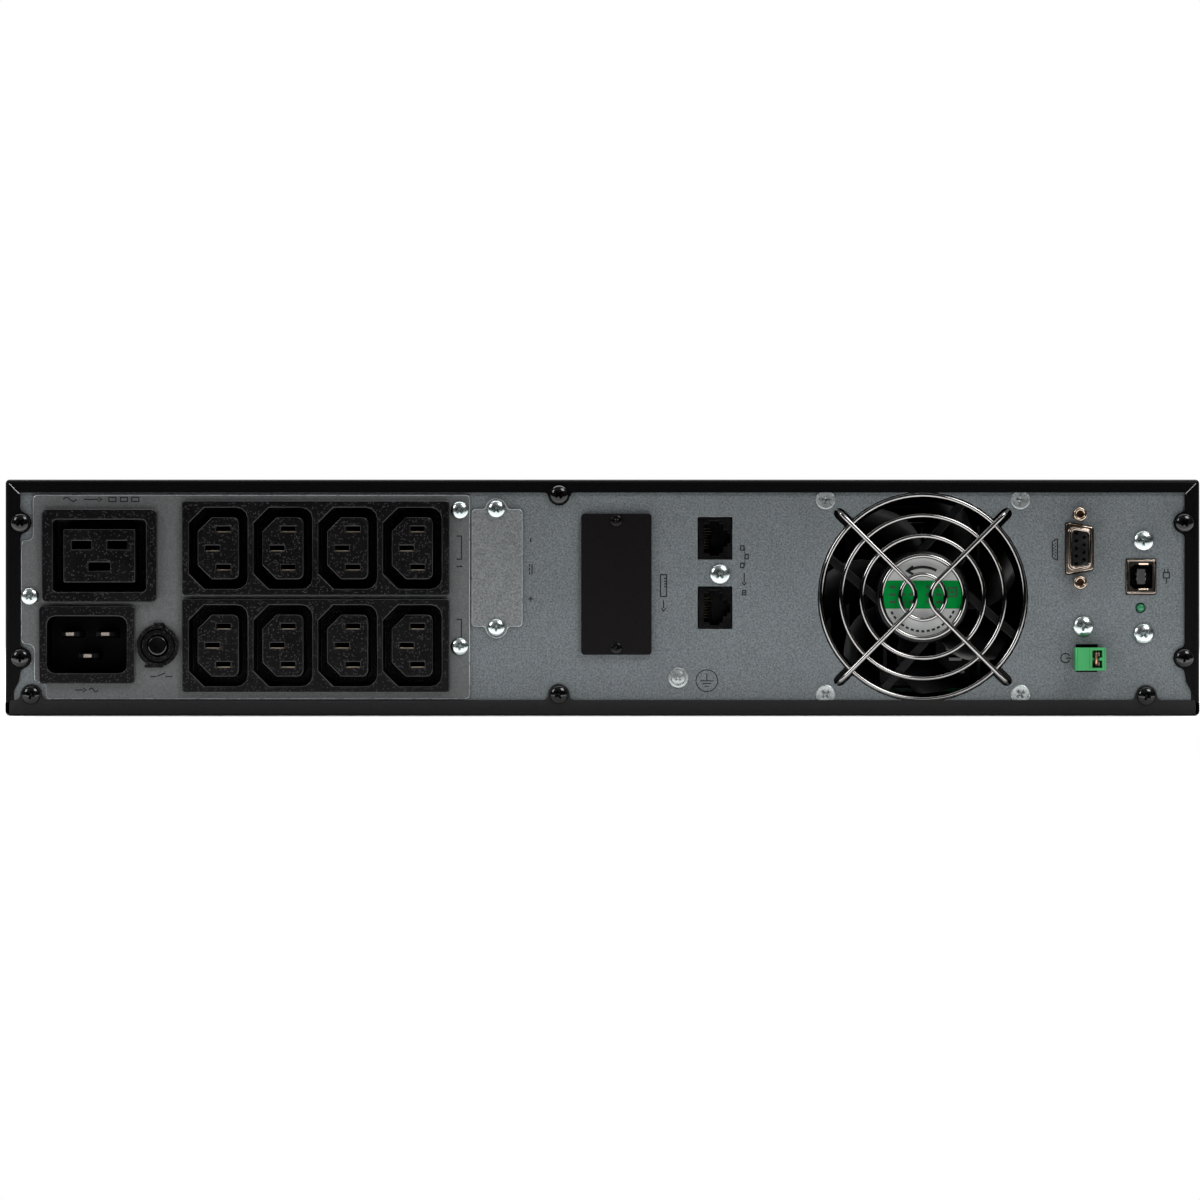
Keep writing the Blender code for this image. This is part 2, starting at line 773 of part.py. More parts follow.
def status_led():
    back = PANEL_IN + 5
    bulb = [(0, REAR - 1.6), (0.9, REAR - 1.35), (1.4, REAR - 0.7), (1.5, REAR), (1.5, back), (0, back)]
    return solid("status_led", "led", lathe(bulb, LED, 12), origin=spot(LED, REAR))


def epo_header():
    (left, right), (low, high) = EPO_WINDOW
    front = PANEL_IN + GAP
    return solid(
        "epo_header",
        "black_plastic",
        box((left - 1.0, right + 1.0), (front, front + 12), (low - 0.6, high + 0.6)),
        ("cut", box((left + 0.4, right - 0.4), (front - 1, front + 9), (low + 0.6, high - 1.4))),
        origin=((left + right) / 2, front, (low + high) / 2),
    )


def epo_plug():
    """A two-way screw plug whose wire mouths face out; its nose sits in the header."""
    (left, right), (low, high) = EPO_WINDOW
    face = -DEPTH / 2
    middle = sum(EPO_Z) / 2
    mouths = [
        box((EPO_WIRE_X - 1.8, EPO_WIRE_X + 1.8), (face - 1, face + 6), (middle + a, middle + b))
        for a, b in ((0.5, 3.2), (-3.2, -0.5))
    ]
    bridge = box((EPO_WIRE_X - 1.8, EPO_WIRE_X + 1.8), (face - 1, face + 2.2), (middle - 0.6, middle + 0.6))
    return solid(
        "epo_plug",
        "green_plastic",
        box(EPO_X, (face, REAR - 0.8), EPO_Z),
        ("add", box((left + 0.9, right - 0.9), (REAR - 1.5, PANEL_IN + 8), (low + 1.2, high - 2.0))),
        ("cut", *mouths),
        ("cut", bridge),
        origin=((left + right) / 2, face, middle),
    )


def epo_jumper():
    """The bare wire that links the plug's two ways."""
    face, middle = -DEPTH / 2, sum(EPO_Z) / 2
    bend = turn((face + 3.2, 0), 1.85, 90, 270, 8)
    path = [(EPO_WIRE_X, face + 5.2, middle + 1.85)]
    path += [(EPO_WIRE_X, y, middle + z) for y, z in bend]
    path += [(EPO_WIRE_X, face + 5.2, middle - 1.85)]
    return solid("epo_jumper", "copper", rod(path, 0.45), origin=(EPO_WIRE_X, face, middle))


# ---------------------------------------------------------------- fan


def polar(radius, degrees):
    """A point at a radius and angle from the fan's axis."""
    angle = math.radians(degrees)
    return (FAN[0] + radius * math.cos(angle), FAN[1] + radius * math.sin(angle))


def fan_frame():
    front, back = FAN_FRONT, FAN_FRONT + FAN_DEPTH
    struts = [
        prism(bar(polar(15.5, quarter + 97), polar(39.6, quarter + 66), 3.2), (front, front + 3))
        for quarter in (0, 90, 180, 270)
    ]
    holes = [disc(corner, 2.2, (front - 1, back + 1), PILOT) for corner in corners_of_fan()]
    return solid(
        "fan_frame",
        "black_plastic",
        prism(around(FAN, FAN_SIZE, FAN_SIZE, 4.0), (front, back), [circle(FAN, FAN_BORE, 40)]),
        ("add", *struts),
        ("add", disc(FAN, HUB, (front + 0.2, front + 5.5))),
        ("cut", disc(FAN, 2.0, (front + 1.5, back), 12), *holes),
        origin=spot(FAN, front),
    )


def blade(start):
    """One fan blade: a thin plate that twists and sweeps on its way out."""
    middle = FAN_FRONT + 15.0
    sections = []
    stations = ((15.5, 0, 48, 8.0), (22.5, 5, 40, 10.0), (29.0, 12, 34, 11.0), (35.0, 20, 30, 11.5))
    for radius, sweep, pitch, chord in stations:
        angle, tilt = math.radians(start + sweep), math.radians(pitch)
        out = Vector((math.cos(angle), 0, math.sin(angle)))
        round_it = Vector((-math.sin(angle), 0, math.cos(angle)))
        along = round_it * math.cos(tilt) + Vector((0, 1, 0)) * math.sin(tilt)
        thick = round_it * -math.sin(tilt) + Vector((0, 1, 0)) * math.cos(tilt)
        base = Vector((FAN[0], middle, FAN[1])) + out * radius
        corners = ((-chord, -0.5), (chord, -0.5), (chord, 0.5), (-chord, 0.5))
        sections.append([base + along * a + thick * t for a, t in corners])
    return loft(sections)


def fan_rotor():
    front, back = FAN_FRONT + 6.2, FAN_FRONT + FAN_DEPTH - 1.0
    shaft_end = FAN_FRONT + 2.2
    profile = [(0, shaft_end), (1.5, shaft_end), (1.5, front), (HUB - 0.8, front), (HUB, front + 0.8)]
    profile += [(HUB, back - 1.5), (HUB - 1.5, back), (0, back)]
    blades = [blade(360 / BLADES * i + 20) for i in range(BLADES)]
    return solid("fan_rotor", "black_plastic", lathe(profile, FAN), ("add", *blades), origin=spot(FAN, front))


def guard_ring(radius):
    section = turn((radius, RING_Y), RING_WIRE, 18, 378, 5)[:-1]
    return lathe(section, FAN, 30)


def guard_spoke(side):
    """A bent wire with two legs at 45 degrees that end behind the panel at the fan's screws."""
    bend = turn((-SPOKE_TIP - SPOKE_BEND, 0), SPOKE_BEND, 45, -45, 6)
    leg_x = bend[0][0] - (30.9 - bend[0][1])
    behind = PANEL_IN + 1.25
    leg = [(leg_x - 3.2, behind, 34.1), (leg_x - 0.5, behind - 0.6, 31.4), (leg_x + 0.8, SPOKE_Y + 0.5, 30.1)]
    leg += [(leg_x + 2.2, SPOKE_Y, 28.7)]
    path = leg + [(x, SPOKE_Y, z) for x, z in bend] + [(x, y, -z) for x, y, z in reversed(leg)]
    return rod([(FAN[0] - side * x, y, FAN[1] + z) for x, y, z in path], SPOKE_WIRE)


def fan_guard():
    outer, *inner = [guard_ring(radius) for radius in GUARD_RINGS]
    return solid(
        "fan_guard",
        "chrome",
        outer,
        ("add", guard_spoke(1)),
        ("add", guard_spoke(-1)),
        ("add", *inner),
        origin=spot(FAN, RING_Y),
    )


# ---------------------------------------------------------------- screws


def screw(name, centre, seat, head, finish, height=2.2):
    """A pan-head machine screw whose head rests on the face at seat."""
    top, under = seat - GAP - height, seat - GAP
    profile = [(0, top), (head * 0.55, top + 0.15), (head * 0.88, top + 0.9), (head, under), (1.5, under)]
    profile += [(1.5, PANEL_IN + 5.0), (0, PANEL_IN + 5.0)]
    return solid(name, finish, lathe(profile, centre, 12), origin=spot(centre, seat))


# ---------------------------------------------------------------- front


def hollow_front(x):
    """A bezel block and the hollow behind its face."""
    z = (0.6, HEIGHT)
    outer = prism(rectangle(x, z, 3.0), (BEZEL_BACK, BEZEL_FACE))
    inside = [(x[0] + BEZEL_WALL, x[1] - BEZEL_WALL), (z[0] + BEZEL_WALL, z[1] - BEZEL_WALL)]
    hollow = prism(rectangle(*inside, 1.0), (BEZEL_BACK - 1, BEZEL_FACE - BEZEL_WALL))
    return outer, hollow


def vent_slots(centre_x, count, pitch):
    """Upright vent slots in two rows about a centre."""
    through = (BEZEL_FACE - BEZEL_WALL - 1, BEZEL_FACE + 1)
    slots = []
    for i in range(count):
        x = centre_x + pitch * (i - (count - 1) / 2)
        for z in (25.0, 61.5):
            slots.append(prism(around((x, z), 3.2, 26.0, 1.3, 1), through))
    return slots


def front_bezel():
    outer, hollow = hollow_front((BEZEL_LEFT, WIDTH / 2))
    slots = vent_slots(208.0, 2, 7.0)
    window = disc(DISPLAY, TURNTABLE + 0.5, (BEZEL_FACE - BEZEL_WALL - 1, BEZEL_FACE + 1), 48)
    return solid("front_bezel", "bezel_plastic", outer, ("cut", hollow), ("cut", window, *slots))


def display_turntable():
    """A disc that turns in the bezel, kept in by a flange behind the bezel's wall."""
    x, z = DISPLAY
    back, flange, face = BEZEL_FACE - 8.0, BEZEL_FACE - 3.7, DEPTH / 2
    profile = [(0, back), (TURNTABLE + 2.5, back), (TURNTABLE + 2.5, flange), (TURNTABLE, flange)]
    profile += [(TURNTABLE, face - 0.6), (TURNTABLE - 0.6, face), (0, face)]
    pocket = prism(around((x, z + 11.0), 46.8, 25.8), (face - 1.6, face + 1))
    button_row = [(x + offset, z + BUTTON_ROW) for offset in BUTTON_X.values()]
    holes = [disc(button, BUTTON + 0.35, (back - 1, face + 1), 20) for button in button_row]
    return solid(
        "display_turntable",
        "bezel_plastic",
        lathe(profile, DISPLAY, 48),
        ("cut", pocket, *holes),
        origin=spot(DISPLAY, face),
    )


def display_window():
    x, z = DISPLAY
    face = DEPTH / 2 - 0.2
    pane = prism(around((x, z + 11.0), 46.0, 25.0, 1.0), (face - 1.1, face))
    return solid("display_window", "lens", pane, origin=spot(DISPLAY, face))


def front_button(name):
    """A round key with a flange behind the turntable that keeps it in."""
    x, z = DISPLAY[0] + BUTTON_X[name], DISPLAY[1] + BUTTON_ROW
    face, back = DEPTH / 2 - 0.1, BEZEL_FACE - 8.0
    profile = [(0, face), (BUTTON - 0.5, face), (BUTTON, face - 0.5), (BUTTON, back - 0.4)]
    profile += [(BUTTON + 0.9, back - 0.4), (BUTTON + 0.9, back - 1.6), (0, back - 1.6)]
    return solid(f"{name}_button", "grey_plastic", lathe(profile[::-1], (x, z), 20), origin=(x, face, z))


def drawer_front():
    outer, hollow = hollow_front((-WIDTH / 2, BEZEL_LEFT - 1.0))
    (left, right), (low, high) = PULL
    floor = BEZEL_FACE - PULL_DEPTH
    wall = 2.5
    cup = box((left - wall, right + wall), (floor - wall, BEZEL_FACE - 0.5), (low - wall, high + wall))
    pocket = prism(rectangle(*PULL, 5.0), (floor, BEZEL_FACE + 1))
    slots = vent_slots(-166.0, 10, 8.0) + vent_slots(42.0, 10, 8.0)
    return solid(
        "drawer_front", "bezel_plastic", outer, ("cut", hollow), ("add", cup), ("cut", pocket, *slots)
    )


# ---------------------------------------------------------------- battery drawer and bay


def battery_tray():
    wall, height = 1.2, 52.0
    inside = [(TRAY_X[0] + wall, TRAY_X[1] - wall), (TRAY_Y[0] + wall, TRAY_Y[1] - wall)]
    return solid(
        "battery_tray",
        "zinc",
        box(TRAY_X, TRAY_Y, (TRAY_FLOOR, height)),
        ("cut", box(*inside, (TRAY_FLOOR + wall, height + 1))),
    )


def battery(column, row):
    """A sealed 12 V block on its side, its two tabs towards +X."""
    x = TRAY_X[0] + 1.7 + BATTERY_PITCH[0] * column
    y = TRAY_Y[0] + 8.0 + BATTERY_PITCH[1] * row
    z = TRAY_FLOOR + 1.2 + GAP
    far = x + BATTERY[0]
    tabs = [box((far - 1.0, far + 5.8), (y + at, y + at + 6.3), (z + 16.0, z + 17.0)) for at in (14.0, 130.0)]
    return solid(
        f"battery_{1 + column + 3 * row}",
        "grey_plastic",
        box((x, far), (y, y + BATTERY[1]), (z, z + BATTERY[2])),
        ("add", *tabs),
        origin=(x, y, z),
    )


def dock_plug():
    """The pack's blind-mate plug, on the back wall of the tray."""
    return solid("dock_plug", "black_plastic", box(DOCK_X, (TRAY_Y[0] - 14.0, TRAY_Y[0] - GAP), DOCK_Z))


def dock_socket():
    mouth = [(low - 0.5, high + 0.5) for low, high in (DOCK_X, DOCK_Z)]
    front = TRAY_Y[0] - 4.0
    return solid(
        "dock_socket",
        "black_plastic",
        box((DOCK_X[0] - 6, DOCK_X[1] + 6), (front - 22.0, front), (1.5, DOCK_Z[1] + 6)),
        ("cut", box(mouth[0], (front - 12.0, front + 1), mouth[1])),
    )


def partition():
    """The bent sheet around the battery bay: a wall beside the drawer, one behind it and the front wall
    of the electronics bay, with its air inlets."""
    back, side = TRAY_Y[0] - 27.5, BAY_SIDE + DIVIDER
    z = (1.5, 78.0)
    inlets = [box((x, x + 8.0), (CASE_FRONT - 4, CASE_FRONT), (12.0, 70.0)) for x in (102.0, 196.0)]
    return solid(
        "partition",
        "zinc",
        box((BAY_SIDE, side), (back, CASE_FRONT - 1.0), z),
        ("add", box((-216.0, side - DIVIDER / 2), (back, back + DIVIDER), z)),
        ("add", box((side - DIVIDER / 2, 215.8), (CASE_FRONT - 2.0, CASE_FRONT - 1.0), z)),
        ("cut", *inlets),
    )


# ---------------------------------------------------------------- electronics


def power_board():
    x, y = (-205.0, 200.0), (-255.0, -80.0)
    feet = [
        box((foot_x - 3, foot_x + 3), (foot_y - 3, foot_y + 3), (1.5, BOARD_Z + 0.5))
        for foot_x in (-195, 0, 190)
        for foot_y in (-245, -90)
    ]
    return solid("power_board", "board", box(x, y, (BOARD_Z, BOARD_TOP)), ("add", *feet))


def heatsink():
    """An extrusion with upright fins, lying in the fan's air stream."""
    left, base, top, fin, pitch, count = 84.0, BOARD_TOP + GAP, 70.0, 1.6, 7.0, 9
    foot = base + 6.0
    outline = [(left, base), (left + pitch * (count - 1) + fin, base)]
    for i in reversed(range(count)):
        x = left + pitch * i
        outline += [(x + fin, top), (x, top)]
        if i:
            outline += [(x, foot), (x - pitch + fin, foot)]
    return solid("heatsink", "aluminium", prism(outline, (-245.0, -95.0)))


def transformer():
    x, y, z = (-190.0, -130.0), (-235.0, -165.0), (BOARD_TOP + GAP, 66.0)
    coil = box((x[0] - 6, x[1] + 6), (y[0] + 12, y[1] - 12), (z[0] + 10, z[1] - 10))
    return solid("transformer", "winding", box(x, y, z), ("add", coil))


def bus_capacitor(number, x):
    radius, centre_y = 17.5, -120.0
    low, high = BOARD_TOP + GAP, 62.0
    sections = []
    for r, z in ((radius - 1, low), (radius, low + 1), (radius, high - 1), (radius - 1, high)):
        sections.append([(x + a, centre_y + b, z) for a, b in circle((0, 0), r, 20)])
    return solid(f"bus_capacitor_{number}", "grey_plastic", loft(sections), origin=(x, centre_y, low))


def comm_board():
    front = REAR + 14.5
    return solid("comm_board", "board", box((166.0, 212.0), (front, front + 1.6), (10.0, 78.0)))


def build():
    for obj in list(bpy.data.objects):
        bpy.data.objects.remove(obj)
    for make in (bottom_chassis, top_cover, rear_panel, outlet_plate, battery_port_cover, slot_cover):
        make()
    c19_outlet()
    c20_inlet()
    for name, centre in inlet_pins():
        inlet_pin(name, centre)
    for level in ("upper", "lower"):
        outlet_bank(level)
        rj45_jack(level)
    for make in (breaker_body, breaker_collar, breaker_button, db9_shell, db9_insert):
        make()
    for level, centre in zip(("upper", "lower"), reversed(jackscrews())):
        db9_jackscrew(level, centre)
    for make in (usb_shell, usb_insert, status_led, epo_header, epo_plug, epo_jumper):
        make()
    for make in (fan_frame, fan_rotor, fan_guard):
        make()
    screw("ground_screw", GROUND_SCREW, REAR, 3.6, "zinc")
    for level, port, slot in zip(("upper", "lower"), PORT_SCREWS, SLOT_SCREWS):
        screw(f"port_screw_{level}", port, SKIN_OUT, 3.2, "zinc")
        screw(f"slot_screw_{level}", slot, SKIN_OUT - 1.0, 2.0, "black_steel", 1.2)
    for make in (front_bezel, display_turntable, display_window, drawer_front):
        make()
    for name in BUTTON_X:
        front_button(name)
    for make in (battery_tray, dock_plug, dock_socket, partition):
        make()
    for row in range(2):
        for column in range(3):
            battery(column, row)
    for make in (power_board, heatsink, transformer, comm_board):
        make()
    for number, x in ((1, -60.0), (2, -15.0)):
        bus_capacitor(number, x)


build()
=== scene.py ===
"""Looks of a two-unit rackmount UPS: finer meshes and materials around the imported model.

Shapes are worked out in millimetres and become metres in built(). The connector side faces -Y, the front
bezel +Y, and +Z is up. Outlines are (x, z) points, so a piece that is extruded runs along Y.
"""

import json
import math

import bmesh
import bpy
from mathutils import Matrix, Vector


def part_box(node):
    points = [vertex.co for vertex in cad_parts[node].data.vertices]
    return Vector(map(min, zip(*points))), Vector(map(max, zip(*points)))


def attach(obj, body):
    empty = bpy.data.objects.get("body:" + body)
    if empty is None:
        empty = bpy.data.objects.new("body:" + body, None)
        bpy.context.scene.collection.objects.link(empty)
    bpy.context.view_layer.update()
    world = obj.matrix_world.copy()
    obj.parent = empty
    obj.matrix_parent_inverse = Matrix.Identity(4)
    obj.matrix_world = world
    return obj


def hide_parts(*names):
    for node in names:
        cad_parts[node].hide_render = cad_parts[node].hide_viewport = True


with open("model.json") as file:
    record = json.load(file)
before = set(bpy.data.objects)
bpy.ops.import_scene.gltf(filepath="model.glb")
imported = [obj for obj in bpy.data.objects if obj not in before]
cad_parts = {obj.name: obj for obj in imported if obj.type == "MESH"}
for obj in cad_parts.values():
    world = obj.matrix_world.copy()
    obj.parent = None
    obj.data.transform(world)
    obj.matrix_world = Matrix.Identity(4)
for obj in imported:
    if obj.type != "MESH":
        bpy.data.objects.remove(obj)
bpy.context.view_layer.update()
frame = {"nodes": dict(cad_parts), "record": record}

MM = 0.001


def box_mm(node):
    """A CAD node's lowest and highest corners, in millimetres."""
    low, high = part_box(node)
    return low / MM, high / MM


def middle(node):
    """The (x, z) centre of a CAD node."""
    low, high = box_mm(node)
    return ((low.x + high.x) / 2, (low.z + high.z) / 2)


def outside(node):
    """How far out a node's rear face lies, as a y."""
    return box_mm(node)[0].y


def inside(node):
    """The y of a node's other end, towards the bezel."""
    return box_mm(node)[1].y


PANEL_FACE = outside("rear_panel")
PLATE_FACE = outside("outlet_plate")
BEZEL_FACE = inside("front_bezel")

# ---------------------------------------------------------------- camera, lights and floor

VIEW_WIDTH = 440.3  # what the picture's side spans at the rear panel
VIEW_CENTRE = (-0.9, 42.3)
VIEW_DISTANCE = 2200.0
VIEW_END = 20.0  # how far the camera sees, in metres
SENSOR = 36.0
FLOOR_FRONT = -580.0  # the table ends a short way in front of the connectors
FLOOR_BACK = 3000.0
FLOOR_SIDE = 1500.0
FLOOR_LEVEL = -0.2

# position, target, size and watts, in metres
SOFTBOXES = {
    "key_right": ((0.95, -1.6, 1.5), (0, -0.3, 0.05), (0.9, 0.8), 27),
    "key_left": ((-1.3, -1.2, 0.9), (0, -0.3, 0.05), (0.5, 0.6), 10),
    "overhead": ((0, 0.9, 2.2), (0, 0.9, 0), (3.6, 3.0), 160),
    "low_card": ((0, -0.335, 0.001), (0, -0.335, 1), (0.9, 0.03), 0.22),
}


def add_camera():
    camera = bpy.data.objects.new("camera", bpy.data.cameras.new("camera"))
    camera.data.sensor_width = SENSOR
    camera.data.lens = SENSOR * VIEW_DISTANCE / VIEW_WIDTH
    camera.data.clip_end = VIEW_END
    camera.location = Vector((VIEW_CENTRE[0], PANEL_FACE - VIEW_DISTANCE, VIEW_CENTRE[1])) * MM
    camera.rotation_euler = (math.radians(90), 0, 0)
    bpy.context.scene.collection.objects.link(camera)
    bpy.context.scene.camera = camera


def add_softbox(name, position, target, size, watts):
    """A rectangular area light that looks from one point towards another."""
    light = bpy.data.lights.new(name, "AREA")
    light.shape = "RECTANGLE"
    light.size, light.size_y = size
    light.energy = watts
    lamp = bpy.data.objects.new(name, light)
    lamp.location = position
    lamp.rotation_euler = (Vector(target) - Vector(position)).to_track_quat("-Z", "Y").to_euler()
    lamp.visible_camera = False
    bpy.context.scene.collection.objects.link(lamp)


def add_world():
    """A studio: white behind the unit, dark where its connectors face, and white where the camera looks."""
    world = bpy.data.worlds.new("studio")
    world.use_nodes = True
    tree = world.node_tree
    tree.nodes.clear()
    direction = add(tree, "TexCoord").outputs["Generated"]
    split = add(tree, "SeparateXYZ", {"Vector": direction})
    behind = span(tree, split.outputs["Y"], 0.0, 0.75, 0.0, 0.7)
    above = span(tree, split.outputs["Z"], 0.01, 0.25, 0.2, 0.8)
    glow = maths(tree, "ADD", behind, above)
    seen = add(tree, "LightPath").outputs["Is Camera Ray"]
    strength = add(tree, "Mix", {"Factor": seen, "A": glow, "B": 1.0}).outputs["Result"]
    shade = add(tree, "Background", {"Color": (1, 1, 1, 1), "Strength": strength})
    add(tree, "OutputWorld", {"Surface": shade.outputs[0]})
    bpy.context.scene.world = world


def add_floor():
    table = rectangle((0, (FLOOR_FRONT + FLOOR_BACK) / 2), 2 * FLOOR_SIDE, FLOOR_BACK - FLOOR_FRONT)
    mesh = bpy.data.meshes.new("floor")
    mesh.from_pydata([(x * MM, y * MM, FLOOR_LEVEL * MM) for x, y in table], [], [(0, 1, 2, 3)])
    mesh.materials.append(MATERIAL["floor"])
    floor = bpy.data.objects.new("floor", mesh)
    bpy.context.scene.collection.objects.link(floor)


# ---------------------------------------------------------------- materials

MATERIAL = {}
SPECK_RADIUS = 0.38  # as a share of a speck's cell

# What several finishes share
COAT = (60, 0.06), (0.6, 0.3, 0.02), 0.01
SCREW = (2, 0.1), (0.3, 0.15, 0.002), 0.03
PLATING = (3, 0.12), (0.3, 0.1, 0.004), 0.06
DARK_PLATING = (3, 0.12), (0.3, 0.1, 0.001), 0.04
SPRING = (1.5, 0.15), (0.3, 0.1, 0.002), 0.08
GREY = 0.5, 0.35  # the roughness and metal of the painted sheets
GREEN = (5, 0.08), (0.3, 0.06, 0.008), 0.06
LABEL = (5, 0.06), (0.3, 0.05, 0.002), 0.04

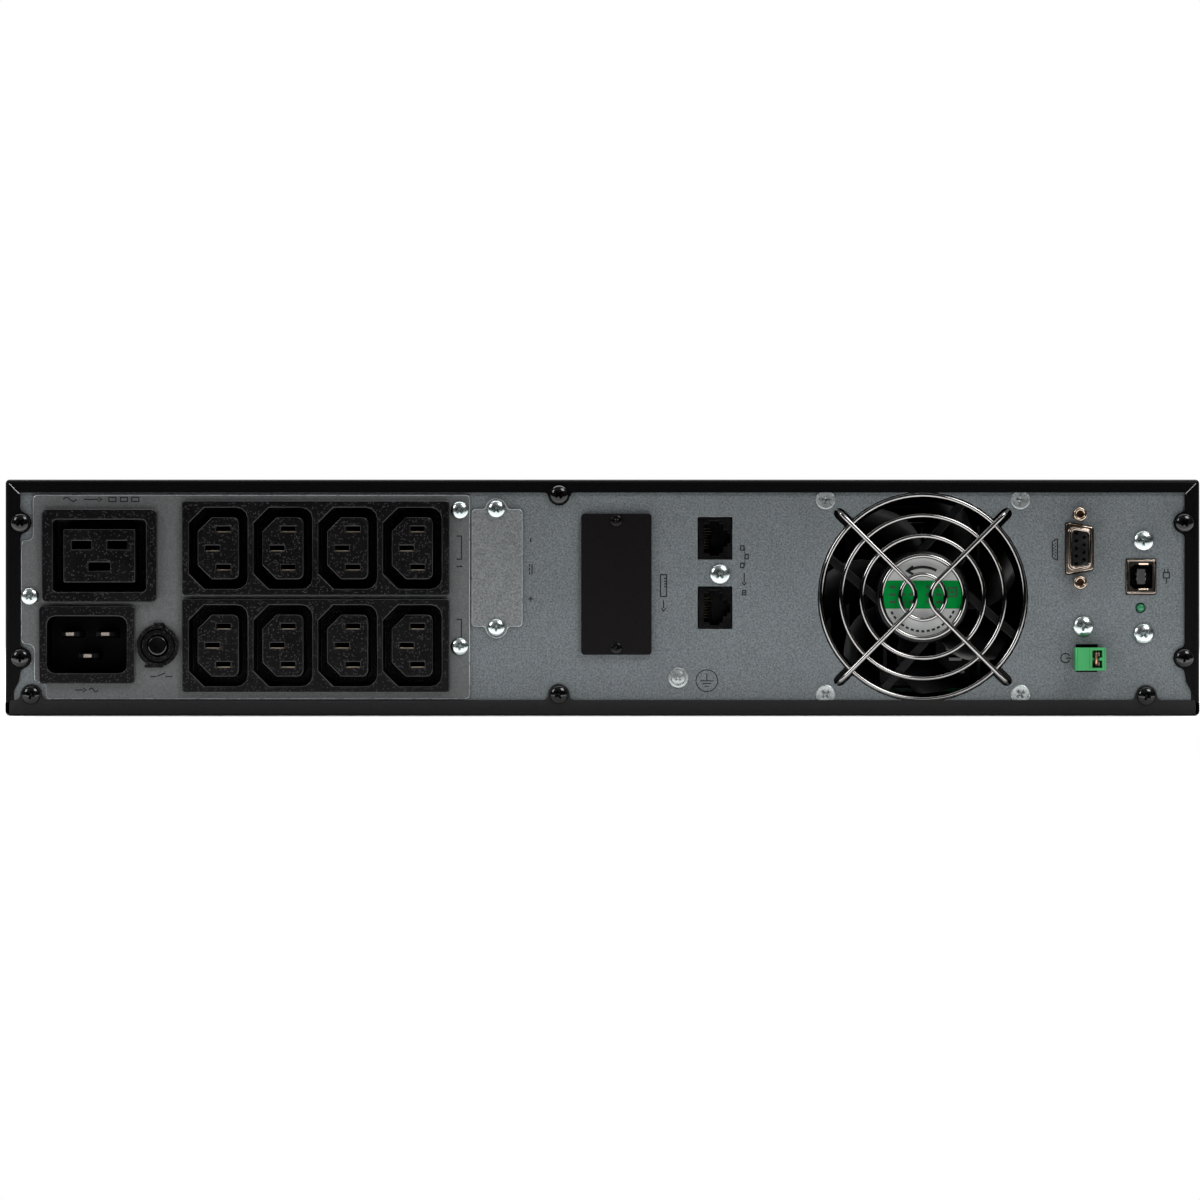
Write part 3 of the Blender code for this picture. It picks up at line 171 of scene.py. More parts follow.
# Slot, colour, roughness, metal, the size and strength of large soft spots, and the size, strength and depth
# of a fine grain. What may follow are the roughness spread and the specular level.
FINISHES = {
    "floor": (None, (0.86, 0.86, 0.86), 0.6, 0, (400, 0.01), (3, 0.004, 0.02), 0.03),
    "powder_coat": ("black_steel", (0.0016, 0.0015, 0.0018), 0.36, 0, *COAT, 0.06),
    "slot_coat": ("black_steel", (0.0036, 0.003, 0.0033), 0.38, 0, *COAT, 0.08),
    # tray_coat: a lighter copy of the black coat, a painted reflection of the bright floor on the tray
    "tray_coat": ("black_steel", (0.0058, 0.0052, 0.0057), 0.4, 0, *COAT, 0.2),
    # weld: the grey of the lines along the cover's mitre seams, a painted highlight
    "weld": ("black_steel", (0.3, 0.3, 0.3), 0.35, 0.6, (2, 0.2), (0.3, 0.2, 0.01)),
    "grey_panel": ("panel_steel", (0.1, 0.112, 0.118), *GREY, (18, 0.025), (0.6, 0.4, 0.011), 0.04, 0.35),
    "grey_plate": ("plate_steel", (0.078, 0.081, 0.082), *GREY, (18, 0.03), (0.45, 0.25, 0.01), 0.03, 0.35),
    "grey_cover": ("plate_steel", (0.12, 0.126, 0.128), *GREY, (14, 0.02), (0.5, 0.4, 0.01), 0.04, 0.35),
    # cut_edge_and_highlight: the light grey of bare cut edges, also a painted highlight along the sheets'
    # softened edges
    "cut_edge_and_highlight": ("plate_steel", (0.4, 0.43, 0.44), 0.3, 0.5, (4, 0.1), (0.3, 0.15, 0.006)),
    "zinc": ("zinc", (0.44, 0.49, 0.49), 0.25, 1, (2.2, 0.1), (0.25, 0.1, 0.004), 0.05),
    "zinc_dull": ("zinc", (0.27, 0.29, 0.29), 0.3, 0.6, (1.6, 0.15), (0.3, 0.15, 0.006), 0.08),
    "zinc_sheet": ("zinc_sheet", (0.42, 0.44, 0.44), 0.4, 1, (6, 0.06), (0.8, 0.06, 0.004), 0.04),
    "black_screw": ("black_screw", (0.002, 0.002, 0.0022), 0.1, 0, *SCREW, 0.36),
    "slot_screw": ("black_screw", (0.0015, 0.0015, 0.0016), 0.18, 0, *SCREW, 0.14),
    "chrome": ("chrome", (0.26, 0.255, 0.25), 0.06, 1, (6, 0.1), (0.4, 0.06, 0.001), 0.03),
    "nickel": ("nickel", (0.34, 0.27, 0.21), 0.2, 1, *PLATING),
    "nickel_tip": ("nickel", (0.2, 0.175, 0.155), 0.5, 0.3, *PLATING),
    # nickel_worn: the shells' nickel, also a painted highlight on the data port rim's edges
    "nickel_worn": ("nickel", (0.3, 0.25, 0.21), 0.15, 1, (4, 0.15), (0.3, 0.1, 0.0006), 0.03),
    # nickel_flange_painted_shade: a darker copy of nickel, painted shade on the serial port's flat faces
    "nickel_flange_painted_shade": ("nickel", (0.1, 0.08, 0.064), 0.3, 1, (4, 0.15), (0.3, 0.1, 0.001), 0.03),
    "nickel_dark": ("nickel", (0.02, 0.017, 0.014), 0.3, 0.6, *DARK_PLATING),
    # nickel_painted_shade: a near-black copy of nickel, painted shade on the sides of the inlet's pins
    "nickel_painted_shade": ("nickel", (0.003, 0.0028, 0.0026), 0.5, 0.5, *DARK_PLATING),
    # copper_dark: a dark copper tone, painted shade on the contacts and bores deep in holes
    "copper_dark": ("nickel", (0.06, 0.03, 0.018), 0.4, 0.8, *PLATING),
    "copper": ("copper", (0.42, 0.21, 0.14), 0.42, 1, (1, 0.25), (0.2, 0.2, 0.004), 0.1),
    "contact": ("contact", (0.62, 0.52, 0.38), 0.35, 0.7, *SPRING),
    # contact_dark: a darker copy of the contact metal, painted shade on the wires inside the network jacks
    "contact_dark": ("contact", (0.2, 0.15, 0.09), 0.4, 0.7, *SPRING),
    "socket": ("socket_plastic", (0.0024, 0.0023, 0.0025), 0.34, 0, (10, 0.12), (0.5, 0.6, 0.05), 0.06, 0.08),
    # socket_painted_shade: a near-black copy of the socket plastic, painted shade deep in the inlet's mouth
    "socket_painted_shade": ("socket_plastic", (0.0006,) * 3, 0.5, 0, (10, 0.12), (0.5, 0.4, 0.02), 0.06, 0.05),
    # socket_edge_glint: a lighter black on the sockets' softened edges, a painted glint
    "socket_edge_glint": ("socket_plastic", (0.006, 0.006, 0.0064), 0.34, 0, (10, 0.12), (0.4, 0.3, 0.01)),
    "tongue": ("socket_plastic", (0.022, 0.022, 0.024), 0.45, 0, (6, 0.1), (0.3, 0.2, 0.008)),
    "black_gloss": ("black_plastic", (0.0016, 0.0016, 0.0018), 0.12, 0, (6, 0.1), (0.3, 0.2, 0.001)),
    "port_block": ("black_plastic", (0.005, 0.005, 0.0053), 0.26, 0, (6, 0.1), (0.3, 0.2, 0.002)),
    "black_plastic": (
        "black_plastic", (0.0012, 0.0012, 0.0014), 0.28, 0, (6, 0.1), (0.3, 0.2, 0.008), 0.06, 0.16,
    ),
    "foam": ("black_plastic", (0.004, 0.004, 0.0045), 0.8, 0, (5, 0.2), (0.7, 0.6, 0.15)),
    "fan_plastic": ("fan_plastic", (0.001, 0.001, 0.0012), 0.32, 0, (12, 0.15), (0.4, 0.2, 0.01), 0.06, 0.18),
    "bezel": ("bezel_plastic", (0.006, 0.006, 0.0065), 0.42, 0, (50, 0.06), (0.5, 0.15, 0.02), 0.03, 0.25),
    "key": ("key_plastic", (0.12, 0.12, 0.125), 0.5, 0, (5, 0.05), (0.3, 0.08, 0.008)),
    "green_plastic": ("green_plastic", (0.016, 0.2, 0.055), 0.42, 0, *GREEN),
    "green_seam": ("green_plastic", (0.006, 0.06, 0.02), 0.6, 0, *GREEN),
    "battery": ("battery_plastic", (0.1, 0.105, 0.11), 0.5, 0, (30, 0.08), (0.5, 0.1, 0.02)),
    "lens": ("lens", (0.006, 0.012, 0.02), 0.06, 0, (30, 0.1), (1, 0.05, 0), 0.02),
    "led": ("led", (0.006, 0.11, 0.045), 0.16, 0, (1, 0.1), (0.3, 0.05, 0), 0.04),
    "board": ("board", (0.012, 0.1, 0.04), 0.35, 0, (8, 0.2), (1.2, 0.15, 0.02)),
    "aluminium": ("aluminium", (0.012, 0.012, 0.013), 0.4, 0.3, (10, 0.08), (0.5, 0.08, 0.006)),
    "winding": ("winding", (0.42, 0.16, 0.06), 0.4, 0.4, (5, 0.2), (0.7, 0.3, 0.08)),
    "capacitor": ("capacitor", (0.015, 0.016, 0.02), 0.3, 0, (12, 0.1), (0.4, 0.1, 0.004)),
    "label_silver": ("label", (0.34, 0.345, 0.34), 0.45, 0.1, (5, 0.06), (0.3, 0.04, 0.002), 0.05),
    "label_green": ("label", (0, 0.165, 0.028), 0.6, 0, *LABEL, 0.03),
    "green_dark": ("label", (0, 0.03, 0.008), 0.5, 0, *LABEL),
    "paper": ("label", (0.32, 0.325, 0.32), 0.55, 0, (12, 0.03), (0.3, 0.04, 0.002)),
    "ink": ("print", (0.005, 0.0055, 0.006), 0.6, 0, (4, 0.1), (0.3, 0.15, 0.002), 0.06, 0.2),
    "ink_white": ("print", (0.75, 0.76, 0.78), 0.5, 0, (4, 0.04), (0.3, 0.05, 0.002)),
    "lcd": ("print", (0.2, 0.42, 0.6), 0.4, 0, (4, 0.05), (0.3, 0.05, 0.001)),
}
EXTRAS = {
    "socket": {"specks": (0.6, 0.3, (0.034, 0.032, 0.035), 0.3)},
    "lens": {"coat": 0.6},
    "led": {"coat": 0.15},
    "aluminium": {"stretch": (1, 0.1, 1)},
    "winding": {"stretch": (1, 0.15, 1)},
}


def add(tree, kind, inputs=None, **settings):
    """A shader node with its settings. An input is a value, or the socket it is linked to."""
    node = tree.nodes.new("ShaderNode" + kind)
    for name, value in settings.items():
        setattr(node, name, value)
    for name, value in (inputs or {}).items():
        if isinstance(value, bpy.types.NodeSocket):
            tree.links.new(value, node.inputs[name])
        else:
            node.inputs[name].default_value = value
    return node


def maths(tree, operation, a, b):
    return add(tree, "Math", {0: a, 1: b}, operation=operation).outputs[0]


def noise(tree, size, detail, stretch):
    """A noise between 0 and 1 whose spots are about size millimetres wide."""
    place = add(tree, "TexCoord").outputs["Object"]
    if stretch != (1, 1, 1):
        place = add(tree, "Mapping", {"Vector": place, "Scale": stretch}).outputs[0]
    return add(tree, "TexNoise", {"Vector": place, "Scale": 1 / (size * MM), "Detail": detail}).outputs["Fac"]


def span(tree, value, low, high, start=0.3, end=0.7):
    """A value that runs from low to high while the given one runs from start to end."""
    ends = {"Value": value, "From Min": start, "From Max": end, "To Min": low, "To Max": high}
    return add(tree, "MapRange", ends).outputs[0]


def finish(
    name, slot, colour, rough, metal, mottle, grain,
    spread=0.06, shine=0.5, coat=0, stretch=(1, 1, 1), specks=None,
):
    """A material with large soft spots, a fine grain that is also a bump, and, if asked, bright specks.

    spread is how far the spots change the roughness, shine the specular level, coat the weight of a clear
    coat and stretch what the spots are scaled by. specks is (size, share, colour, roughness).
    """
    material = bpy.data.materials.new(name)
    material.use_nodes = True
    tree = material.node_tree
    shader = tree.nodes["Principled BSDF"]
    large = noise(tree, mottle[0], 3.0, stretch)
    fine = noise(tree, grain[0], 2.0, stretch)
    soft = span(tree, large, 1 - mottle[1], 1 + mottle[1])
    shade = maths(tree, "MULTIPLY", soft, span(tree, fine, 1 - grain[1], 1 + grain[1]))
    tone = add(tree, "VectorMath", {0: colour, "Scale": shade}, operation="SCALE").outputs[0]
    gloss = span(tree, large, rough - spread, rough + spread)
    if specks:
        size, share, speck_colour, speck_rough = specks
        place = add(tree, "TexCoord").outputs["Object"]
        cells = add(tree, "TexVoronoi", {"Vector": place, "Scale": 1 / (size * MM)})
        chance = add(tree, "SeparateColor", {"Color": cells.outputs["Color"]}).outputs[0]
        chosen = maths(tree, "LESS_THAN", chance, share)
        near = maths(tree, "LESS_THAN", cells.outputs["Distance"], SPECK_RADIUS)
        spot = maths(tree, "MULTIPLY", chosen, near)
        tone = add(tree, "Mix", {0: spot, 6: tone, 7: (*speck_colour, 1)}, data_type="RGBA").outputs[2]
        gloss = add(tree, "Mix", {"Factor": spot, "A": gloss, "B": speck_rough}).outputs["Result"]
    tree.links.new(tone, shader.inputs["Base Color"])
    tree.links.new(gloss, shader.inputs["Roughness"])
    shader.inputs["Metallic"].default_value = metal
    shader.inputs["Specular IOR Level"].default_value = shine
    shader.inputs["Coat Weight"].default_value = coat
    if grain[2]:
        bump = add(tree, "Bump", {"Height": fine, "Strength": 1.0, "Distance": grain[2] * MM})
        tree.links.new(bump.outputs[0], shader.inputs["Normal"])
    MATERIAL[name] = material


# ---------------------------------------------------------------- outlines in X and Z


def arc(centre, radius, start, end, steps):
    """Points on an arc, with both ends, for angles in degrees."""
    angles = [math.radians(start + (end - start) * i / steps) for i in range(steps + 1)]
    return [(centre[0] + radius * math.cos(a), centre[1] + radius * math.sin(a)) for a in angles]


def circle(centre, radius, segments=48):
    return arc(centre, radius, 0, 360, segments)[:-1]


def rectangle(centre, width, height, radius=0.0, steps=4):
    x, z = centre
    dx, dz = width / 2 - radius, height / 2 - radius
    if not radius:
        return [(x - dx, z - dz), (x + dx, z - dz), (x + dx, z + dz), (x - dx, z + dz)]
    quarters = ((1, 1, 0), (-1, 1, 90), (-1, -1, 180), (1, -1, 270))
    return [p for sx, sz, a in quarters for p in arc((x + sx * dx, z + sz * dz), radius, a, a + 90, steps)]


def rounded(corners, radius, steps=5):
    """An outline whose corners are arcs."""
    made = []
    for i, corner in enumerate(corners):
        tip = Vector(corner)
        back = (Vector(corners[i - 1]) - tip).normalized()
        ahead = (Vector(corners[(i + 1) % len(corners)]) - tip).normalized()
        half = back.angle(ahead) / 2
        centre = tip + (back + ahead).normalized() * radius / math.sin(half)
        spoke = tip + back * radius / math.tan(half) - centre
        turn = math.copysign(math.pi - 2 * half, back.y * ahead.x - back.x * ahead.y)
        made += [tuple(centre + Matrix.Rotation(turn * k / steps, 2) @ spoke) for k in range(steps + 1)]
    return made


def ribbon(points, width):
    """The outline of a stroke of one width along some points, with mitred corners."""
    points = [Vector(p) for p in points]
    left, right = [], []
    for i, point in enumerate(points):
        before = (point - points[i - 1]).normalized() if i else None
        after = (points[i + 1] - point).normalized() if i + 1 < len(points) else None
        ahead = ((before or after) + (after or before)).normalized()
        side = Vector((-ahead.y, ahead.x)) * width / 2 / max(ahead.dot(after or before), 0.4)
        left.append(tuple(point + side))
        right.append(tuple(point - side))
    return left + right[::-1]


def rim(face, radius, outward=-1, steps=3):
    """(inset, y) steps round a softened edge, from the wall to the face."""
    angles = [math.pi / 2 * k / steps for k in range(steps + 1)]
    return [(radius * (1 - math.cos(a)), face - outward * radius * (1 - math.sin(a))) for a in angles]


def rolled(outline, lip, depth, front, steps):
    """Sections round a rolled rim, from an outline at no inset to one at the lip's width."""
    angles = [math.pi * k / steps for k in range(steps + 1)]
    return [(outline(lip / 2 * (1 - math.cos(a))), front + depth * (1 - math.sin(a))) for a in angles]


# ---------------------------------------------------------------- meshes

CLOSE = 1e-4  # points nearer than this, in millimetres, are one
CLOSE_METRES = 1e-6
SHARP = math.radians(35)
FLAT = math.radians(0.6)


def skin(bm, rings, wrap=False, ends=False):
    """Adds the faces between rings that have as many corners each. wrap joins the last ring to the first."""
    for a, b in zip(rings, rings[1:] + rings[:1] if wrap else rings[1:]):
        for k in range(len(a)):
            bm.faces.new((a[k - 1], a[k], b[k], b[k - 1]))
    if ends:
        bm.faces.new(rings[0])
        bm.faces.new(rings[-1])


def add_face(bm, loops, y):
    """Adds a flat face inside the first loop and outside the others."""
    edges = []
    for loop in loops:
        corners = [bm.verts.new((x, y, z)) for x, z in loop]
        edges += [bm.edges.new(pair) for pair in zip(corners, corners[1:] + corners[:1])]
    return bmesh.ops.triangle_fill(bm, edges=edges, use_beauty=True)["geom"]


def thicken(bm, faces, depth):
    grown = bmesh.ops.extrude_face_region(bm, geom=faces)["geom"]
    bmesh.ops.translate(bm, verts=[g for g in grown if isinstance(g, bmesh.types.BMVert)], vec=(0, depth, 0))


def add_prism(bm, outline, y, holes=()):
    """Adds an outline with holes, extruded along Y."""
    filled = add_face(bm, (outline, *holes), y[0])
    thicken(bm, [g for g in filled if isinstance(g, bmesh.types.BMFace)], y[1] - y[0])


def add_box(bm, x, y, z):
    add_prism(bm, [(x[0], z[0]), (x[1], z[0]), (x[1], z[1]), (x[0], z[1])], y)


def add_lathe(bm, profile, centre, segments=48):
    """Adds a profile of (radius, y) points, spun about a line along Y. Its ends are on that line."""
    rings = []
    for radius, y in profile:
        if radius:
            rings.append([bm.verts.new((x, y, z)) for x, z in circle(centre, radius, segments)])
        else:
            rings.append([bm.verts.new((centre[0], y, centre[1]))])
    for a, b in zip(rings, rings[1:]):
        for i in range(segments):
            corners = [a[i % len(a)], a[(i + 1) % len(a)], b[(i + 1) % len(b)], b[i % len(b)]]
            bm.faces.new(list(dict.fromkeys(corners)))


def add_loft(bm, sections, wrap=False, ends=False):
    """Adds the skin between outlines that have as many points each. A section is (outline, y)."""
    skin(bm, [[bm.verts.new((x, y, z)) for x, z in outline] for outline, y in sections], wrap, ends)


def add_bar(bm, profile, x):
    """Adds an outline of (y, z) points, extruded along X."""
    skin(bm, [[bm.verts.new((at, y, z)) for y, z in profile] for at in x], ends=True)


def add_tube(bm, path, radius, sides=12, closed=False):
    """Adds a round wire along points in space."""
    path = [Vector(p) for p in path]
    last = len(path) - 1
    angles = [2 * math.pi * k / sides for k in range(sides)]
    rings = []
    up = None
    for i, point in enumerate(path):
        after = path[(i + 1) % len(path)] if closed else path[min(i + 1, last)]
        before = path[i - 1] if closed or i else path[0]
        ahead = (after - before).normalized()
        up = ahead.orthogonal() if up is None else up - ahead * up.dot(ahead)
        up.normalize()
        side = ahead.cross(up)
        rings.append([bm.verts.new(point + radius * (up * math.cos(a) + side * math.sin(a))) for a in angles])
    skin(bm, rings, closed, not closed)


def smooth_points(points, steps=6):
    """More points along a Catmull-Rom curve through the given ones."""
    points = [Vector(p) for p in points]
    ends = [2 * points[0] - points[1], *points, 2 * points[-1] - points[-2]]
    made = [points[0]]
    for a, b, c, d in zip(ends, ends[1:], ends[2:], ends[3:]):
        for i in range(1, steps + 1):
            t = i / steps
            curve = 2 * b + (c - a) * t + (2 * a - 5 * b + 4 * c - d) * t**2 + (3 * b - a - 3 * c + d) * t**3
            made.append(curve / 2)
    return made


def weld(bm):
    bmesh.ops.remove_doubles(bm, verts=bm.verts, dist=CLOSE)


def built(name, shapes):
    """A mesh in metres. A shape is a function that adds to a bmesh, or a tuple of one and its values."""
    bm = bmesh.new()
    for shape in shapes:
        add_shape, *values = shape if isinstance(shape, tuple) else (shape,)
        add_shape(bm, *values)
    bmesh.ops.recalc_face_normals(bm, faces=bm.faces)
    bmesh.ops.scale(bm, vec=(MM, MM, MM), verts=bm.verts)
    mesh = bpy.data.meshes.new(name)
    bm.to_mesh(mesh)
    bm.free()
    return mesh


def shaded(mesh, angle):
    mesh.shade_smooth()
    mesh.set_sharp_from_angle(angle=math.radians(angle))
    return mesh


def show(name, mesh, finishes, body="root", stands_for=(), place=(0, 0, 0), turn=0.0):
    """Puts a mesh in the scene as a piece that rides on a body. turn is about Y."""
    finishes = [finishes] if isinstance(finishes, str) else finishes
    obj = bpy.data.objects.new(name, mesh)
    obj.location = Vector(place) * MM
    obj.rotation_euler.y = turn
    bpy.context.scene.collection.objects.link(obj)
    if not mesh.materials:
        for each in finishes:
            mesh.materials.append(MATERIAL[each])
    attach(obj, body)
    if stands_for:
        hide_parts(*stands_for)
    return obj


def piece(name, finishes, *shapes, body="root", stands_for=(), bevel=0.0, angle=35, rims=None):
    """A piece made of shapes, as in built(). rims is as in refine()."""
    obj = show(name, shaded(built(name, shapes), angle), finishes, body, stands_for)
    if bevel:
        add_bevel(obj, bevel)
        apply_modifiers(obj)
    if rims:
        paint_rims(obj, rims)
    return obj


def paint_rims(obj, rims):
    """Gives the second finish to the faces whose normal's share along Y lies between two values."""
    for face in obj.data.polygons:
        face.material_index = int(rims[0] <= abs(face.normal.y) < rims[1])


def add_bevel(obj, width, segments=2, by_weight=False):
    bevel = obj.modifiers.new("edges", "BEVEL")
    bevel.width = width * MM
    bevel.segments = segments
    bevel.limit_method = "WEIGHT" if by_weight else "ANGLE"
    bevel.angle_limit = SHARP
    bevel.use_clamp_overlap = not by_weight
    bevel.harden_normals = True
    obj.data.shade_smooth()


def apply_modifiers(obj):
    """Makes the mesh that the modifiers give the object's own."""
    graph = bpy.context.evaluated_depsgraph_get()
    mesh = bpy.data.meshes.new_from_object(obj.evaluated_get(graph), depsgraph=graph)
    obj.modifiers.clear()
    obj.data = mesh


BODY_OF = {node: body for body, nodes in frame["record"]["behaviour"]["bodies"].items() for node in nodes}


def refine(node, finishes, width=0.2, segments=2, bend=0.0, bent=None, rims=(0.0, 0.8)):
    """A copy of a CAD node with softened edges, which stands for it.

    Edges whose middle, in millimetres, makes bent(middle) true get the larger radius bend. With two finishes,
    the second is on the faces whose normal's share along Y lies between the two rims.
    """
    bm = bmesh.new()
    bm.from_mesh(frame["nodes"][node].data)
    bmesh.ops.remove_doubles(bm, verts=bm.verts, dist=CLOSE_METRES)
    bmesh.ops.dissolve_limit(bm, angle_limit=FLAT, verts=bm.verts, edges=bm.edges)
    bm.verts.index_update()
    mesh = bpy.data.meshes.new(f"{node}_body")
    mesh.from_pydata([v.co for v in bm.verts], [], [[v.index for v in f.verts] for f in bm.faces])
    bm.free()
    obj = show(f"{node}_body", mesh, finishes, BODY_OF[node], [node])
    weigh_edges(obj.data, width, bend, bent)
    add_bevel(obj, max(width, bend), segments + 2 if bend else segments, by_weight=True)
    apply_modifiers(obj)
    if len(obj.data.materials) > 1:
        paint_rims(obj, rims)
    return obj


def weigh_edges(mesh, width, bend, bent):
    """Gives each sharp edge the share of the bevel that it takes."""
    bm = bmesh.new()
    bm.from_mesh(mesh)
    layer = bm.edges.layers.float.new("bevel_weight_edge")
    for edge in bm.edges:
        if len(edge.link_faces) == 2 and edge.calc_face_angle(0) >= SHARP:
            centre = (edge.verts[0].co + edge.verts[1].co) / 2 / MM
            full = not bend or bent(centre)
            edge[layer] = 1.0 if full else width / max(width, bend)
    bm.to_mesh(mesh)
    bm.free()


# ---------------------------------------------------------------- screws

FAN = middle("fan_frame")
FAN_REACH = 35.75  # half the pitch of its screws
SEATED = 0.02  # how far a screw's head sinks into the sheet
GOLDEN_TURN = math.radians(137.5)
CASE_SCREWS = (
    (-213.4, 70.6), (-213.4, 21.0), (213.4, 70.6), (213.4, 21.0), (-15.9, 80.9),
    (-209.5, 7.5), (-16.0, 7.6), (199.4, 7.1),
)
PLATE_SCREWS = ((-52.3, 75.2), (-52.3, 25.2), (-210.0, 43.6))
BRACKET_SCREWS = ((43.1, 51.7), (198.5, 64.0), (198.5, 29.9), (176.4, 32.6))

# Profiles of (radius, y) points. A head rests at y = 0 and looks along -Y.
GROUND_SCREW = (
    (0, 4.0), (1.6, 4.0), (1.6, 0), (3.75, 0), (3.8, -0.25), (3.55, -0.5), (2.75, -0.6),
    (2.55, -0.8), (2.4, -1.1), (1.7, -1.35), (0, -1.45),
)
FAN_SCREW = (
    (0, 4.0), (1.6, 4.0), (1.6, 0), (3.6, 0), (3.65, -0.25), (3.5, -0.5), (3.2, -0.62),
    (2.7, -0.5), (0, -0.6),
)


def pan_head(radius, height, edge=0.25):
    """The profile of a domed head of some height. edge is the straight part at its rim."""
    steps = 9
    profile = [(0, 5.0), (radius * 0.42, 5.0), (radius * 0.42, 0), (radius, 0), (radius, -edge)]
    for i in range(1, steps):
        a = math.pi / 2 * i / steps
        profile.append((radius * math.cos(a), -edge - (height - edge) * math.sin(a)))
    return profile + [(0, -height)]


def add_cross(bm, radius, top, depth):
    """A tapered cross-shaped recess."""
    half, tip = radius * 0.13, radius * 0.09
    levels = [(top - 0.5, 0.53 * radius, half), (top, 0.5 * radius, half)]
    levels += [(top + depth * 0.75, 0.26 * radius, half), (top + depth, tip, half * 0.5)]
    for turned in (False, True):
        sections = []
        for y, reach, side in levels:
            corners = [(reach, side), (-reach, side), (-reach, -side), (reach, -side)]
            sections.append(([(-b, a) for a, b in corners] if turned else corners, y))
        add_loft(bm, sections, ends=True)


def turned_screw(name, profile, radius, top, depth):
    """A screw turned from a profile, with a cross recess that is sized for a head's radius."""
    turned = built(name, [(add_lathe, profile, (0, 0), 40), weld])
    cross = built("recess", [(add_cross, radius, top, depth)])
    screw, tool = [bpy.data.objects.new(each.name, each) for each in (turned, cross)]
    for each in (screw, tool):
        bpy.context.scene.collection.objects.link(each)
    boolean = screw.modifiers.new("recess", "BOOLEAN")
    boolean.operation = "DIFFERENCE"
    boolean.object = tool
    boolean.use_self = True
    apply_modifiers(screw)
    mesh = shaded(screw.data, 30)
    mesh.materials.clear()
    for each in (screw, tool):
        bpy.data.objects.remove(each)
    return mesh


def pan_screw(name, radius, height, edge=0.25):
    return turned_screw(name, pan_head(radius, height, edge), radius, -height - 0.02, height * 0.85)


def put_screws(name, mesh, finish_name, face, places=(), nodes=()):
    """Copies of a screw at (x, z) places or for nodes, each turned a little further than the last."""
    for i, (x, z) in enumerate(places or [middle(node) for node in nodes]):
        place = (x, face - SEATED, z)
        show(f"{name}_{i + 1}", mesh, finish_name, "root", nodes[i:i + 1], place, GOLDEN_TURN * (i + 1))


def make_screws():
    put_screws("case_screw", pan_screw("black_screw", 3.5, 2.1), "black_screw", PLATE_FACE, CASE_SCREWS)
    plate = pan_screw("plate_screw", 3.35, 1.9)
    put_screws("plate_screw", plate, "zinc", PLATE_FACE, PLATE_SCREWS)
    put_screws("port_screw", plate, "zinc", PLATE_FACE, nodes=["port_screw_upper", "port_screw_lower"])
    put_screws("bracket_screw", pan_screw("bracket_screw", 3.9, 2.1), "zinc", PANEL_FACE, BRACKET_SCREWS)
    ground = turned_screw("ground_screw_shape", GROUND_SCREW, 2.6, -1.47, 0.9)
    put_screws("ground_screw", ground, "zinc_dull", PANEL_FACE, nodes=["ground_screw"])
    corners = [(FAN[0] + sx * FAN_REACH, FAN[1] + sz * FAN_REACH) for sx in (-1, 1) for sz in (-1, 1)]
    fan_screw = turned_screw("fan_screw", FAN_SCREW, 3.6, -0.62, 1.4)
    put_screws("fan_screw", fan_screw, "zinc_dull", PANEL_FACE, corners)
    small = pan_screw("small_screw", 2.1, 0.7, 0.15)
    slots = ["slot_screw_upper", "slot_screw_lower"]
    put_screws("slot_screw", small, "slot_screw", outside("slot_cover"), nodes=slots)


# ---------------------------------------------------------------- case

COVER_BEND = 1.5  # the radius outside the cover's bends
COVER_SHEET = 1.0
COVER_LOW = 4.85
COVER_EDGE = COVER_BEND + 0.3  # where the flange goes over into the bend


def cover_path(inset):
    """Points up the cover's left side, over its top and down its right, at a distance inside its outline."""
    low, high = box_mm("top_cover")
    reach = max(inset, COVER_BEND)
    left = arc((low.x + reach, high.z - reach), reach - inset, 180, 90, 8)
    right = arc((high.x - reach, high.z - reach), reach - inset, 90, 0, 8)
    return [(low.x + inset, COVER_LOW), *left, *right, (high.x - inset, COVER_LOW)]


def add_cover_skin(bm):
    """The cover's sides and top, with the rounded bend into the flange behind."""
    low, high = box_mm("top_cover")
    bends = (arc((0, 0), COVER_BEND, 90, 0, 6), arc((0, 0), COVER_BEND - COVER_SHEET, 0, 90, 3))
    outer, inner = [[(COVER_BEND - x, low.y + COVER_BEND - y) for x, y in bend] for bend in bends]
    profile = [(COVER_EDGE, low.y), *outer, (0, high.y), (COVER_SHEET, high.y), *inner]
    profile.append((COVER_EDGE, low.y + COVER_SHEET))
    rows = [[bm.verts.new((x, y, z)) for x, z in cover_path(inset)] for inset, y in profile]
    for a, b in zip(rows, rows[1:] + rows[:1]):
        for i in range(len(a) - 1):
            bm.faces.new((a[i], a[i + 1], b[i + 1], b[i]))
    for end in (0, -1):
        bm.faces.new([row[end] for row in rows])


